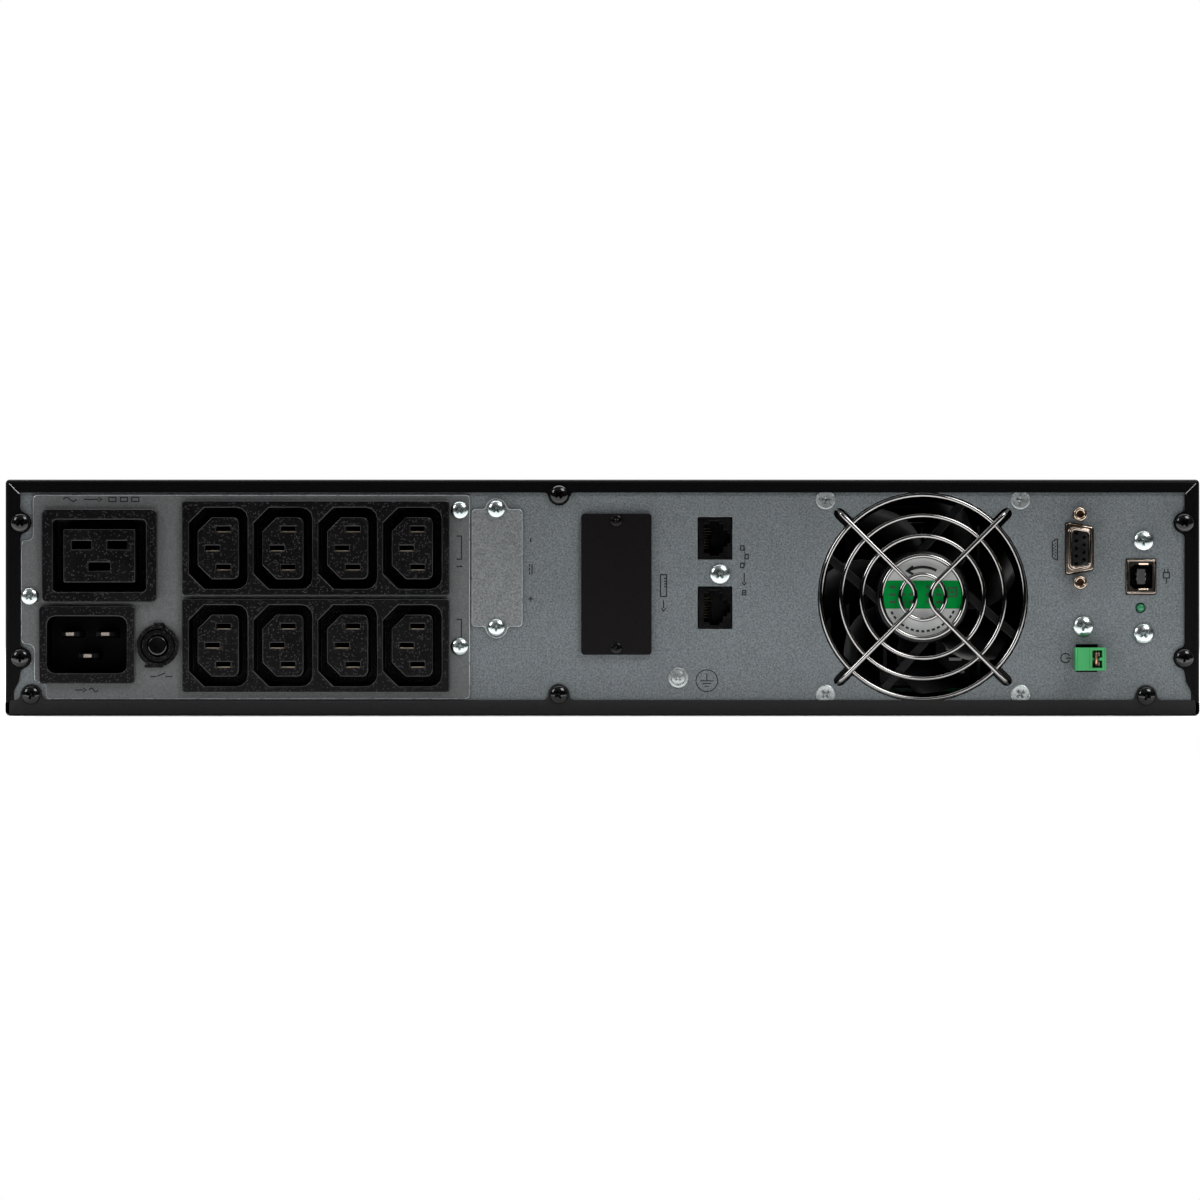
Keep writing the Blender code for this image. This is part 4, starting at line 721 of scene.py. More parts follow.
def add_cover_flange(bm):
    """The flat flange with its ears, out to where the bend starts, taken from the CAD node's rear face."""
    low, high = box_mm("top_cover")
    source = bmesh.new()
    source.from_mesh(frame["nodes"]["top_cover"].data)
    bmesh.ops.scale(source, vec=(1 / MM, 1 / MM, 1 / MM), verts=source.verts)
    bmesh.ops.remove_doubles(source, verts=source.verts, dist=CLOSE_METRES / MM)
    rear = [f for f in source.faces if f.normal.y < -0.9 and abs(f.calc_center_median().y - low.y) < 0.05]
    corners = {}
    for vert in dict.fromkeys(v for f in rear for v in f.verts):
        x = min(max(vert.co.x, low.x + COVER_EDGE), high.x - COVER_EDGE)
        corners[vert] = bm.verts.new((x, low.y, min(vert.co.z, high.z - COVER_EDGE)))
    faces = [bm.faces.new([corners[v] for v in f.verts]) for f in rear]
    source.free()
    bmesh.ops.remove_doubles(bm, verts=list(corners.values()), dist=CLOSE)
    thicken(bm, [f for f in faces if f.is_valid], COVER_SHEET)


def make_cover():
    """The top cover, whose skin and flange are two pieces, with a grey line where its flanges meet, a painted
    highlight along each mitre seam.
    """
    low, high = box_mm("top_cover")
    shell = piece("top_cover_skin", "powder_coat", add_cover_skin, stands_for=["top_cover"], angle=40)
    flange = piece("top_cover_flange", "powder_coat", add_cover_flange)
    for obj in (shell, flange):
        bm = bmesh.new()
        bm.from_mesh(obj.data)
        bmesh.ops.remove_doubles(bm, verts=bm.verts, dist=CLOSE_METRES)
        bmesh.ops.dissolve_degenerate(bm, edges=bm.edges, dist=CLOSE_METRES / 10)
        bmesh.ops.recalc_face_normals(bm, faces=bm.faces)
        bm.to_mesh(obj.data)
        bm.free()
    add_bevel(flange, 0.15)
    apply_modifiers(flange)
    # A grey wire along each mitre seam, a painted highlight where the flanges meet.
    y = low.y + 0.12
    for side, name in ((-1, "left"), (1, "right")):
        seam = [(side * (high.x - 1.4), y, high.z - 1.5), (side * (high.x - 5.2), y, high.z - 5.3)]
        piece(f"cover_seam_highlight_{name}", "weld", (add_tube, seam, 0.17, 10), angle=60)


def make_case():
    make_cover()
    # The tray's flange is in the lighter copy of the black coat, a painted reflection of the floor.
    refine("bottom_chassis", "tray_coat", 0.15, 2, 0.7, lambda p: p.y < PLATE_FACE + 0.1 and p.z < 0.5)
    # The sheets' softened edges get a light grey: bare cut metal and a painted highlight.
    refine("rear_panel", ["grey_panel", "cut_edge_and_highlight"], 0.12)
    refine("outlet_plate", ["grey_plate", "cut_edge_and_highlight"], 0.5, 3, rims=(0.0, 0.95))
    refine("battery_port_cover", ["grey_cover", "cut_edge_and_highlight"], 0.4, 3, rims=(0.0, 0.95))
    refine("slot_cover", "slot_coat", 0.3, 3)


# ---------------------------------------------------------------- mains connectors

EDGE = (0.12, 0.97)  # the rims of refine() that pick out the softened edges alone, which get a painted highlight
LEVELS = ("upper", "lower")
OUTLET_PITCH = 23.7
OUTLET_SLOTS = ((1.9, 7.0), (-2.1, 0.0), (1.9, -7.0))
C19_SLOTS = ((-6.5, 3.9, 7.2), (6.5, 3.9, 7.2), (0.0, -4.0, 7.9))  # place and width
INLET_DEEP = 2.0  # how far in its mouth the plastic is painted darker, as shade


def leaf(x, z, width, height, y):
    """The lower leaf of a female contact behind a slot, as a shape."""
    low = z - height / 2
    return (add_box, (x - width / 2 + 0.2, x + width / 2 - 0.2), (y, y + 12.0), (low, low + 0.3))


def make_outlets():
    for level in LEVELS:
        node = f"outlet_bank_{level}"
        # The softened edges get a lighter black, a painted glint.
        refine(node, ["socket", "socket_edge_glint"], 0.28, 2, rims=EDGE)
        x, z = middle(node)
        depth = outside(node) + 1.2
        centres = [x - 0.1 + OUTLET_PITCH * (i - 1.5) for i in range(4)]
        leaves = [leaf(centre + dx, z + dz, 5.3, 2.1, depth) for centre in centres for dx, dz in OUTLET_SLOTS]
        piece(f"outlet_contacts_{level}", "contact", *leaves)
    refine("c19_outlet", ["socket", "socket_edge_glint"], 0.3, 2, rims=EDGE)
    x, z = middle("c19_outlet")
    depth = outside("c19_outlet") + 8.0
    leaves = [leaf(x + dx, z + dz, width, 3.2, depth) for dx, dz, width in C19_SLOTS]
    piece("c19_contacts", "contact", *leaves)
    inlet = refine("c20_inlet", ["socket", "socket_edge_glint", "socket_painted_shade"], 0.3, 2, rims=EDGE)
    # Faces deep in the inlet's mouth get the darker black, painted shade.
    depth = outside("c20_inlet") + INLET_DEEP
    for polygon in inlet.data.polygons:
        if polygon.center.y > depth * MM:
            polygon.material_index = 2
    for name in ("line", "neutral", "earth"):
        make_inlet_pin(f"inlet_pin_{name}")


def make_inlet_pin(node):
    """A flat pin whose end tapers to a small bright tip. Its sides are painted dark, as shade."""
    low, high = box_mm(node)
    shapes = (
        (1.0, 1.0, 0.25, high.y), (1.0, 1.0, 0.25, low.y + 3.6), (0.9, 0.9, 0.25, low.y + 2.0),
        (0.44, 0.66, 0.25, low.y + 0.2), (0.4, 0.58, 0.2, low.y),
    )
    size = high - low
    pin = [(rectangle(middle(node), size.x * a, size.z * b, radius), y) for a, b, radius, y in shapes]
    piece(
        f"{node}_blade", ["nickel_tip", "nickel_painted_shade"], (add_loft, pin, False, True), stands_for=[node],
        rims=(0.0, 0.97), angle=30,
    )


def make_breaker():
    refine("breaker_body", "socket", 0.2)
    refine("breaker_collar", "socket", 0.2)
    steps = (
        (0, 20), (3.5, 20), (3.5, 0.5), (3.45, 0.3), (3.33, 0.13), (3.16, 0.03), (2.95, 0), (2.8, 0), (0, 0),
    )
    face = outside("breaker_button")
    profile = [(radius, face + depth) for radius, depth in steps]
    piece(
        "breaker_push_button", "black_gloss", (add_lathe, profile, middle("breaker_button"), 64),
        body="breaker_button", stands_for=["breaker_button"], angle=40,
    )


# ---------------------------------------------------------------- signal connectors

NETWORK_PITCH = 1.02
SERIAL_SLANT = math.radians(10)
SERIAL_LIP = 1.0  # how wide the rolled rim is
SERIAL_PITCH = 2.76
SERIAL_ROWS = 2.84
HEX_ACROSS = 4.7
HEX_BORE = 1.3
DATA_WIDTH, DATA_HEIGHT, DATA_LIP = 10.8, 12.6, 0.75
MOUTH_WIDTH, MOUTH_HEIGHT, MOUTH_CUT = 8.4, 9.1, 1.5


def make_signals():
    for level in LEVELS:
        node = f"rj45_jack_{level}"
        refine(node, "black_plastic", 0.15)
        make_network_contacts(level, middle(node), outside(node))
    make_serial_port()
    for level in LEVELS:
        make_jackscrew(f"db9_jackscrew_{level}")
    make_data_port()
    refine("epo_header", "black_plastic", 0.2)
    refine("epo_plug", "green_plastic", 0.22, 2)
    make_plug_seams()
    make_led()
    make_jumper()


def make_network_contacts(level, centre, face):
    """Eight spring wires behind a network jack's mouth."""
    bends = ((-3.9, 6.5), (-3.6, 7.0), (-1.6, 11.0), (-1.2, 12.0))
    wires = []
    for i in range(8):
        z = centre[1] + NETWORK_PITCH * (i - 3.5)
        path = [(centre[0] + dx, face + dy, z) for dx, dy in bends]
        wires.append((add_tube, smooth_points(path, 3), 0.2, 6))
    # The wires are in the darker contact metal, painted shade inside the jack.
    piece(f"rj45_contacts_{level}", "contact_dark", *wires)


def serial_outline(width, height, radius):
    """A D-shaped outline that stands upright, as a function that gives it for an inset."""
    x, z = middle("db9_shell")

    def outline(inset):
        half_width = width / 2 - inset
        half = height / 2 - inset * (math.tan(SERIAL_SLANT) + 1 / math.cos(SERIAL_SLANT))
        short = half - 2 * half_width * math.tan(SERIAL_SLANT)
        left, right = x - half_width, x + half_width
        corners = [(left, z - half), (right, z - short), (right, z + short), (left, z + half)]
        return rounded(corners, max(radius - inset, 0.1))

    return outline


def make_serial_port():
    """The nine-way port: a flange with a raised, rolled rim, and the block with its nine sockets."""
    x, z = middle("db9_shell")
    flange = serial_outline(10.0, 19.1, 0.9)
    collar = serial_outline(8.1, 16.1, 2.0)
    foot = PANEL_FACE - 1.0
    lip = outside("db9_shell")
    back = inside("db9_shell")
    shell = [(flange(0), back)] + [(flange(inset), y) for inset, y in rim(foot, 0.35)]
    shell += [(collar(-0.4), foot), (collar(-0.12), foot - 0.12), (collar(0), foot - 0.4)]
    shell += rolled(collar, SERIAL_LIP, SERIAL_LIP / 2, lip, 8)
    shell += [(collar(SERIAL_LIP), back), (flange(0), back)]
    # The shell's flat faces get the darker nickel, painted shade; its rolled rim keeps the lighter one.
    piece(
        "serial_port_shell", ["nickel_worn", "nickel_flange_painted_shade"], (add_loft, shell), weld,
        stands_for=["db9_shell"], rims=(0.985, 1.01), angle=50,
    )
    face = lip + 0.7
    block = serial_outline(6.0, 13.7, 1.1)
    steps = rim(face, 0.15)
    places = [(x - SERIAL_ROWS / 2 - 0.1, z + SERIAL_PITCH * (i - 2)) for i in range(5)]
    places += [(x + SERIAL_ROWS / 2 - 0.1, z + SERIAL_PITCH * (i - 1.5)) for i in range(4)]
    insert = [
        (add_loft, [(block(0), face + 9.0)] + [(block(inset), y) for inset, y in steps]),
        (add_face, [block(steps[-1][0])] + [circle(at, 0.72, 16) for at in places], face),
        (add_face, [block(0)], face + 9.0),
    ]
    contacts = []
    for at in places:
        mouth, bore = circle(at, 0.72, 16), circle(at, 0.55, 16)
        insert.append((add_loft, [(mouth, face), (bore, face + 0.3), (bore, face + 5.0)]))
        insert.append((add_face, [bore], face + 5.0))
        outer, inner = circle(at, 0.5, 12), circle(at, 0.34, 12)
        sleeve = [(outer, face + 4.8), (outer, face + 1.4), (inner, face + 1.5), (inner, face + 4.8)]
        contacts.append((add_loft, sleeve, True))
    piece("serial_port_block", "port_block", *insert, weld, stands_for=["db9_insert"], angle=40)
    # The sleeves are in a dark copper, painted shade in the holes.
    piece("serial_port_contacts", "copper_dark", *contacts, weld, angle=40)


def hexagon(centre, limit, points=48):
    """A jack screw's hexagon, with its corners cut back to a circle."""
    made = []
    for k in range(points):
        a = 2 * math.pi * k / points
        side = math.cos((a + math.pi / 6) % (math.pi / 3) - math.pi / 6)
        radius = min(HEX_ACROSS / 2 / side, limit)
        made.append((centre[0] + radius * math.cos(a), centre[1] + radius * math.sin(a)))
    return made


def make_jackscrew(node):
    """A hexagonal jack screw with a chamfered face and a threaded hole."""
    centre = middle(node)
    face = outside(node)
    back = PANEL_FACE - 0.05
    crest, root = circle(centre, HEX_BORE - 0.15), circle(centre, HEX_BORE + 0.05)
    sides = ((2.7, 0.7), (2.5, 0.35), (2.25, 0.12), (2.05, 0.02), (1.8, 0))
    sections = [(hexagon(centre, 2.7), back)] + [(hexagon(centre, limit), face + y) for limit, y in sides]
    sections += [(circle(centre, 1.62), face + 0.04), (root, face + 0.35)]
    for turn in range(6):
        start = face + 0.4 + 0.5 * turn
        sections += [(crest, start + 0.25), (root, start + 0.5)]
    ends = [(add_face, [hexagon(centre, 2.7)], back), (add_face, [root], face + 3.4)]
    piece(f"{node}_hex", "nickel", (add_loft, sections), *ends, weld, stands_for=[node], angle=38)
    # A dark copper floor inside the bore, painted shade in the hole.
    floor = [(0, face + 2.2), (HEX_BORE - 0.1, face + 2.2), (HEX_BORE - 0.1, face + 3.1), (0, face + 3.1)]
    piece(f"{node}_bore", "copper_dark", (add_lathe, floor, centre, 24))


def make_data_port():
    """The square port: a folded metal shell, a block with an eight-cornered mouth, its tongue and springs."""
    x, z = middle("usb_shell")
    front = outside("usb_shell")
    back = inside("usb_shell")
    left, right = x - MOUTH_WIDTH / 2, x + MOUTH_WIDTH / 2
    low, high = z - MOUTH_HEIGHT / 2, z + MOUTH_HEIGHT / 2
    mouth = [(left + MOUTH_CUT, low), (right - 0.5, low), (right, low + 0.5), (right, high - 0.5)]
    mouth += [(right - 0.5, high), (left + MOUTH_CUT, high)]
    mouth += [(left, high - MOUTH_CUT), (left, low + MOUTH_CUT)]

    def outline(inset):
        return rectangle((x, z), DATA_WIDTH - 2 * inset, DATA_HEIGHT - 2 * inset, max(0.75 - inset, 0.12))

    shell = [(outline(0), back), *rolled(outline, DATA_LIP, 0.3, front, 6)]
    shell += [(outline(DATA_LIP), back), (outline(0), back)]
    piece("data_port_shell", "nickel_worn", (add_loft, shell), weld, stands_for=["usb_shell"], angle=50)
    inner = rectangle((x, z), DATA_WIDTH - 2 * DATA_LIP - 0.1, DATA_HEIGHT - 2 * DATA_LIP - 0.1, 0.1)
    plate = (add_prism, inner, (front + 0.25, front + 1.0), [mouth])
    # The rim's softened edges get the lighter nickel, a painted highlight; its face is dark nickel.
    piece("data_port_rim", ["nickel_dark", "nickel_worn"], plate, bevel=0.16, rims=EDGE)
    near, far = front + 1.0, front + 10.0
    block = [(add_prism, inner, (near, far), [mouth]), (add_prism, inner, (far, far + 3.0))]
    piece("data_port_block", "black_plastic", *block, stands_for=["usb_insert"])
    tongue = (add_prism, rectangle((x + 0.05, z), 2.9, 5.5, 0.3), (near, far))
    piece("data_port_tongue", "tongue", tongue, bevel=0.2)
    springs, leaves = [], []
    for side in (-1, 1):
        level = z + side * MOUTH_HEIGHT / 2
        out, into = level + side * 0.35, level - side * 0.2
        profile = [(front + 0.05, out), (front + 0.3, into), (front + 0.55, into), (front + 0.3, out)]
        springs.append((add_bar, profile, (x - 0.9, x + 2.6)))
        leaf_x = x + 0.05 + side * 1.5
        for leaf_z in (z - 0.9, z + 0.9):
            across, up = (leaf_x - 0.12, leaf_x + 0.12), (leaf_z - 0.45, leaf_z + 0.45)
            leaves.append((add_box, across, (front + 1.6, front + 8.5), up))
    piece("data_port_springs", "nickel", *springs)
    piece("data_port_contacts", "contact", *leaves)


def make_plug_seams():
    """The mould lines on the plug's face, the bridge between its two wire mouths and the clamps in them."""
    low, high = box_mm("epo_plug")
    face = low.y
    seams = []
    for x in (low.x + 0.75, low.x + 5.2, high.x - 0.65):
        across, up = (x - 0.07, x + 0.07), (low.z + 0.25, high.z - 0.25)
        seams.append((add_box, across, (face - 0.02, face + 0.2), up))
    piece("epo_plug_seams", "green_seam", *seams, body="epo_plug")
    x, z = middle("epo_jumper")
    bridge = (add_box, (x + 0.75, x + 2.1), (face + 0.05, face + 3.0), (z - 0.55, z + 0.55))
    piece("epo_plug_bridge", "green_plastic", bridge, body="epo_plug", bevel=0.15)
    clamps = []
    for level in (z - 1.9, z + 1.8):
        clamps.append((add_box, (x + 0.5, x + 0.95), (face + 1.6, face + 5.0), (level - 0.75, level + 0.75)))
    piece("epo_plug_clamps", "nickel_tip", *clamps, body="epo_plug", bevel=0.1)


def make_led():
    back = inside("status_led")
    dome = [(0, back), (1.75, back), (1.75, PANEL_FACE + 1.3), (1.5, PANEL_FACE + 1.3)]
    dome += [(radius, PANEL_FACE - 0.1 - depth) for radius, depth in arc((0, 0), 1.5, 0, 80, 8)]
    dome.append((0, outside("status_led")))
    piece("led_lens", "led", (add_lathe, dome, middle("status_led"), 32), stands_for=["status_led"], angle=60)


def make_jumper():
    """The wire link, bent in and out of the plug's two mouths."""
    x, z = middle("epo_jumper")
    face = outside("epo_jumper")
    bends = (
        (-0.3, 5.0, 2.4), (-0.3, 2.6, 2.5), (-0.3, 1.0, 2.2), (-0.3, 0.6, 1.1),
        (-0.25, 0.6, -0.9), (-0.15, 1.3, -2.0), (-0.1, 2.6, -2.4), (-0.1, 5.0, -2.4),
    )
    wire = (add_tube, smooth_points([(x + dx, face + dy, z + dz) for dx, dy, dz in bends]), 0.6)
    piece("epo_wire_link", "copper", wire, body="epo_plug", stands_for=["epo_jumper"], angle=60)


# ---------------------------------------------------------------- fan

GUARD_RINGS = (37.5, 30.0, 22.5, 15.2, 8.3)
GUARD_WIRE = 0.85
SPOKE_WIRE = 0.95
SPOKE_BEND = 8.0
SPOKE_REACH = 30.9
BLADES = 7
BLADE_START = 3.7
BLADE_ROOT, BLADE_TIP = 16.5, 35.6
HUB_RADIUS = 17.3
LABEL_RADIUS = 14.3
LABEL_STEP = 0.1  # how far outside the fan's frame the label lies
BAND = (-4.3, 6.1)


def add_guard_spoke(bm, side):
    """One of the guard's two long wires, bent like a bracket, with its ends turned in behind the panel."""
    x, z = FAN
    level = PANEL_FACE - 0.6
    behind = PANEL_FACE + 2.4
    bend = arc((-2.75 - SPOKE_BEND, 0), SPOKE_BEND, 45, -45, 12)
    reach = bend[0][0] - (SPOKE_REACH - bend[0][1])
    leg = [(reach - 3.2, behind, 34.1), (reach - 1.0, behind - 0.3, 31.9)]
    leg = smooth_points(leg + [(reach + 0.4, level + 0.9, 30.5), (reach + 2.4, level, 28.5)], 5)
    path = [*leg, *[(px, level, pz) for px, pz in bend], *[(px, py, -pz) for px, py, pz in reversed(leg)]]
    add_tube(bm, [(x - side * px, py, z + pz) for px, py, pz in path], SPOKE_WIRE, 14)


def make_guard():
    level = PANEL_FACE + 0.9
    rings = [[(x, level, z) for x, z in circle(FAN, radius, 96)] for radius in GUARD_RINGS]
    wires = [(add_tube, ring, GUARD_WIRE, 12, True) for ring in rings]
    spokes = [(add_guard_spoke, side) for side in (-1, 1)]
    piece("fan_guard_wires", "chrome", *wires, *spokes, stands_for=["fan_guard"], angle=60)


def add_blade(bm, start, hub_y):
    """A swept and twisted blade with a rounded section."""
    rows = []
    for i in range(9):
        t = i / 8
        radius = BLADE_ROOT + (BLADE_TIP - BLADE_ROOT) * t
        sweep = math.radians(start + 22 * t**1.4)
        pitch = math.radians(48 - 18 * t)
        chord = 8.0 + 3.2 * math.sin(t * 2.2)
        section = []
        for k in range(12):
            a = 2 * math.pi * k / 12
            along, thick = chord * math.cos(a), 0.7 * math.sin(a) + 0.9 * math.cos(a) ** 2 - 0.45
            angle = sweep + along * math.cos(pitch) / radius
            x, z = FAN[0] + radius * math.cos(angle), FAN[1] + radius * math.sin(angle)
            section.append(bm.verts.new((x, hub_y + along * math.sin(pitch) + thick * math.cos(pitch), z)))
        rows.append(section)
    skin(bm, rows, ends=True)


def make_fan():
    make_guard()
    refine("fan_frame", "fan_plastic", 0.35, 2)
    front = outside("fan_frame")
    back = inside("fan_rotor")
    hub = [(0, front + 7.0), (HUB_RADIUS - 1.2, front + 7.0), (HUB_RADIUS, front + 8.0)]
    hub += [(HUB_RADIUS, back - 1.5), (HUB_RADIUS - 1.5, back), (0, back)]
    blades = [(add_blade, 360 / BLADES * i + BLADE_START, front + 15.0) for i in range(BLADES)]
    piece(
        "fan_impeller", "fan_plastic", (add_lathe, hub, FAN, 64), *blades,
        body="fan_rotor", stands_for=["fan_rotor"], angle=50,
    )
    collar = ((14.6, 0.6), (14.6, -0.35), (15.0, -0.55), (16.6, -0.45), (17.2, 0.2), (17.2, 0.6))
    sections = [(circle(FAN, radius, 72), front + depth) for radius, depth in collar]
    piece("fan_hub_rim", "fan_plastic", (add_loft, sections, True), angle=50)
    make_fan_label(front - LABEL_STEP)


def label_outline(low, high):
    """The round label's outline between two levels."""
    a = math.degrees(math.asin(max(-1, low / LABEL_RADIUS)))
    b = math.degrees(math.asin(min(1, high / LABEL_RADIUS)))
    sides = arc(FAN, LABEL_RADIUS, a, b, 16) + arc(FAN, LABEL_RADIUS, 180 - b, 180 - a, 16)
    return list(dict.fromkeys([(round(x, 5), round(z, 5)) for x, z in sides]))


def make_fan_label(y):
    """A round sticker with a green band, inside the hub's raised rim, with an arrow in place of any text."""
    parts = (
        ("top", "label_silver", BAND[1], LABEL_RADIUS),
        ("band", "label_green", *BAND),
        ("low", "label_silver", -LABEL_RADIUS, BAND[0]),
    )
    for name, finish_name, low, high in parts:
        piece(f"fan_label_{name}", finish_name, (add_prism, label_outline(low, high), (y, y + 0.15)))
    turning = strokes(arc((0, 0), 11.0, 62, 118, 12), width=1.0)
    turning += strokes([(-3.4, 11.3), (-5.6, 9.6), (-3.2, 8.2)], width=0.9)
    ink("fan_turning_arrow", FAN, turning, y)
    dashes = [arc((0, 0), 12.6, a, a + 5.5, 2) for a in range(205, 335, 9)]
    ink("fan_label_scale", FAN, strokes(*dashes, width=0.8), y)
    words = [[(x, z), (x + 2.4, z)] for z in (3.6, 0.9, -1.8) for x in (-12.2, -8.6, -5.0, 1.2, 4.8)]
    square = frame_marks(3.2, 3.2, 0.6, (11.0, 1.8)) + dots((11.0, 1.8), radius=0.7)
    ink("fan_label_marks", FAN, strokes(*words, width=0.9) + square, y, "green_dark")


# ---------------------------------------------------------------- printed signs

LINE = 0.42  # the usual width of a printed line
INK_NEAR, INK_FAR = 0.015, 0.045  # how far above the sheet a sign lies


def strokes(*lines, width=LINE):
    """Marks along lines. A mark is a list of loops: an outline and, where it has one, the hole in it."""
    return [[ribbon(line, width)] for line in lines]


def dots(*centres, radius):
    return [[circle(centre, radius, 24)] for centre in centres]


def ring(centre, radius, width):
    return [[circle(centre, radius + width / 2, 40), circle(centre, radius - width / 2, 40)]]


def ink(name, at, marks, face, finish_name="ink", turn=0.0, body="root", outward=-1):
    """A printed sign.

    outward is -1 on the connector side, where the sign is seen with +X to the right, and 1 on the front.
    """
    spin = Matrix.Rotation(math.radians(turn), 2)
    y = (face + outward * INK_NEAR, face + outward * INK_FAR)

    def put(loop):
        turned = [spin @ Vector(p) for p in loop]
        return [(at[0] - outward * p.x, at[1] + p.y) for p in turned]

    shapes = [(add_prism, put(outline), y, [put(hole) for hole in holes]) for outline, *holes in marks]
    piece(name, finish_name, *shapes, body=body)


def frame_marks(width, height, line=LINE, centre=(0, 0)):
    """A rectangle drawn as four strokes that meet without overlapping."""
    (x, z), w, h = centre, width / 2, height / 2
    wide, side = w + line / 2, h - line / 2
    level = [[(x - wide, at), (x + wide, at)] for at in (z + h, z - h)]
    upright = [[(at, z - side), (at, z + side)] for at in (x - w, x + w)]
    return strokes(*level, *upright, width=line)


def arrow_marks(length, line=LINE, centre=(0, 0)):
    """An arrow to the right."""
    x, z = centre
    tip = x + length / 2
    head = line * 2.6
    shaft = [(x - length / 2, z), (tip - head * 0.9, z)]
    point = [(tip - head, z + head * 0.75), (tip, z), (tip - head, z - head * 0.75)]
    return strokes(shaft, width=line) + strokes(point, width=line * 0.9)


def wave_marks(width, height, line=LINE, centre=(0, 0)):
    """The sign of alternating current."""
    x, z = centre
    shares = [i / 12 for i in range(13)]
    wave = [(x + width * (t - 0.5), z + height / 2 * math.sin(2 * math.pi * t)) for t in shares]
    return strokes(wave, width=line)


def power_marks(radius, line, low, high, steps):
    """An open ring with a stroke in its gap."""
    return strokes([(0, low), (0, high)], arc((0, 0), radius, 60, -240, steps), width=line)


def segment_marks(number):
    """A bracket along a bank of outlets, with the bank's number."""
    digits = {
        1: ((-0.7, 0.6), (0.2, 1), (0.2, -1)),
        2: ((-1, 0.5), (-0.5, 0.95), (0.5, 0.95), (1, 0.45), (-1, -1), (1.1, -1)),
    }
    digit = [(5.6 + 0.54 * x, z) for x, z in digits[number]]
    return strokes([(-5.5, -0.9), (-5.5, 0.9), (3.0, 0.9), (3.0, -0.9)], digit)


def network_marks():
    """Three linked boxes and a fourth, guarded one."""
    marks = strokes([(-9.0, -0.1), (-9.0, 0.25), (-2.6, 0.25), (-2.6, -0.1)], width=0.2)
    for centre in ((-9.0, -0.7), (-5.8, 0.9), (-2.6, -0.7), (7.4, 0)):
        marks += frame_marks(1.6, 1.2, LINE, centre)
    return marks + arrow_marks(4.5, LINE, (2.4, 0)) + dots((7.4, 0), radius=0.3)


def serial_marks():
    """The outline of a nine-way port."""
    sides = [[(side * 3.9, 0.72), (side * 3.1, -0.72)] for side in (-1, 1)]
    sides += [[(-3.9, 0.95), (3.9, 0.95)], [(-3.0, -0.95), (3.0, -0.95)]]
    pins = [(-2.2 + 1.1 * i, 0.25) for i in range(5)] + [(-1.65 + 1.1 * i, -0.35) for i in range(4)]
    return strokes(*sides) + dots(*pins, radius=0.24)


def make_signs():
    high_current = wave_marks(5.0, 1.5, LINE, (-11.0, 0)) + arrow_marks(6.5, LINE, (-2.6, 0))
    for x in (4.6, 8.8, 13.0):
        high_current += frame_marks(2.6, 1.5, LINE, (x, 0))
    mains = arrow_marks(4.0, LINE, (-2.2, 0)) + wave_marks(3.2, 1.4, LINE, (2.6, 0))
    breaker = strokes([(-4.0, 0), (-1.9, 0)], [(-1.7, 0.1), (1.3, 1.3)], [(1.9, 0), (4.0, 0)])
    direct = [[(-1.9 + 1.4 * i, -0.45), (-0.9 + 1.4 * i, -0.45)] for i in range(3)]
    plus = strokes([(0, 0.14), (0, 0.9)], [(0, -0.14), (0, -0.9)], [(-0.9, 0), (0.9, 0)])
    card = frame_marks(8.0, 2.2) + strokes(*[[(x, 0.95), (x, 0.2)] for x in (-2.6, -1.6, -0.6, 0.4)])
    prongs = [[(x, 0.8), (x, 1.9)] for x in (-0.6, 0.6)]
    plug = frame_marks(2.2, 2.0, LINE, (0, -0.4)) + strokes([(0, -1.6), (0, -3.4)], *prongs)
    bars = [[(-half, z), (half, z)] for half, z in ((2.5, -0.05), (1.55, -1.05), (0.7, -2.05))]
    earth = ring((0, 0), 3.97, 0.34) + strokes([(0, 2.7), (0, 0.1)], *bars, width=0.34)
    on_plate = (
        ("high_current_output", (middle("c19_outlet")[0], 79.2), high_current, 0),
        ("input", (middle("c20_inlet")[0] - 0.3, 9.3), mains, 0),
        ("breaker", (-161.7, 14.2), breaker + ring((1.6, 0), 0.3, 0.16), 0),
        ("segment_1", (-52.6, middle("outlet_bank_upper")[1] - 1.0), segment_marks(1), -90),
        ("segment_2", (-52.6, middle("outlet_bank_lower")[1] + 4.0), segment_marks(2), -90),
    )
    on_panel = (
        ("minus", (-26.3, 64.2), strokes([(0, -0.8), (0, 0.8)]), 0),
        ("direct_current", (-26.3, 53.6), strokes([(-1.9, 0.45), (1.9, 0.45)], *direct), -90),
        ("plus", (-26.3, 42.7), plus, 0),
        ("card_slot", (22.4, 47.6), card + arrow_marks(4.0, LINE, (7.4, 0)), -90),
        ("network_protection", (52.0, 52.4), network_marks(), -90),
        ("serial", (166.0, 60.8), serial_marks(), -90),
        ("data_port", (206.9, 51.8), plug, 0),
        ("power_off", (169.9, 21.0), power_marks(1.7, LINE, 0.3, 2.1, 20), -90),
        ("earth", (38.3, 12.7), earth, 0),
    )
    for face, signs in ((PLATE_FACE, on_plate), (PANEL_FACE, on_panel)):
        for name, at, marks, turn in signs:
            ink(f"sign_{name}", at, marks, face, turn=turn)


# ---------------------------------------------------------------- front, drawer and inside

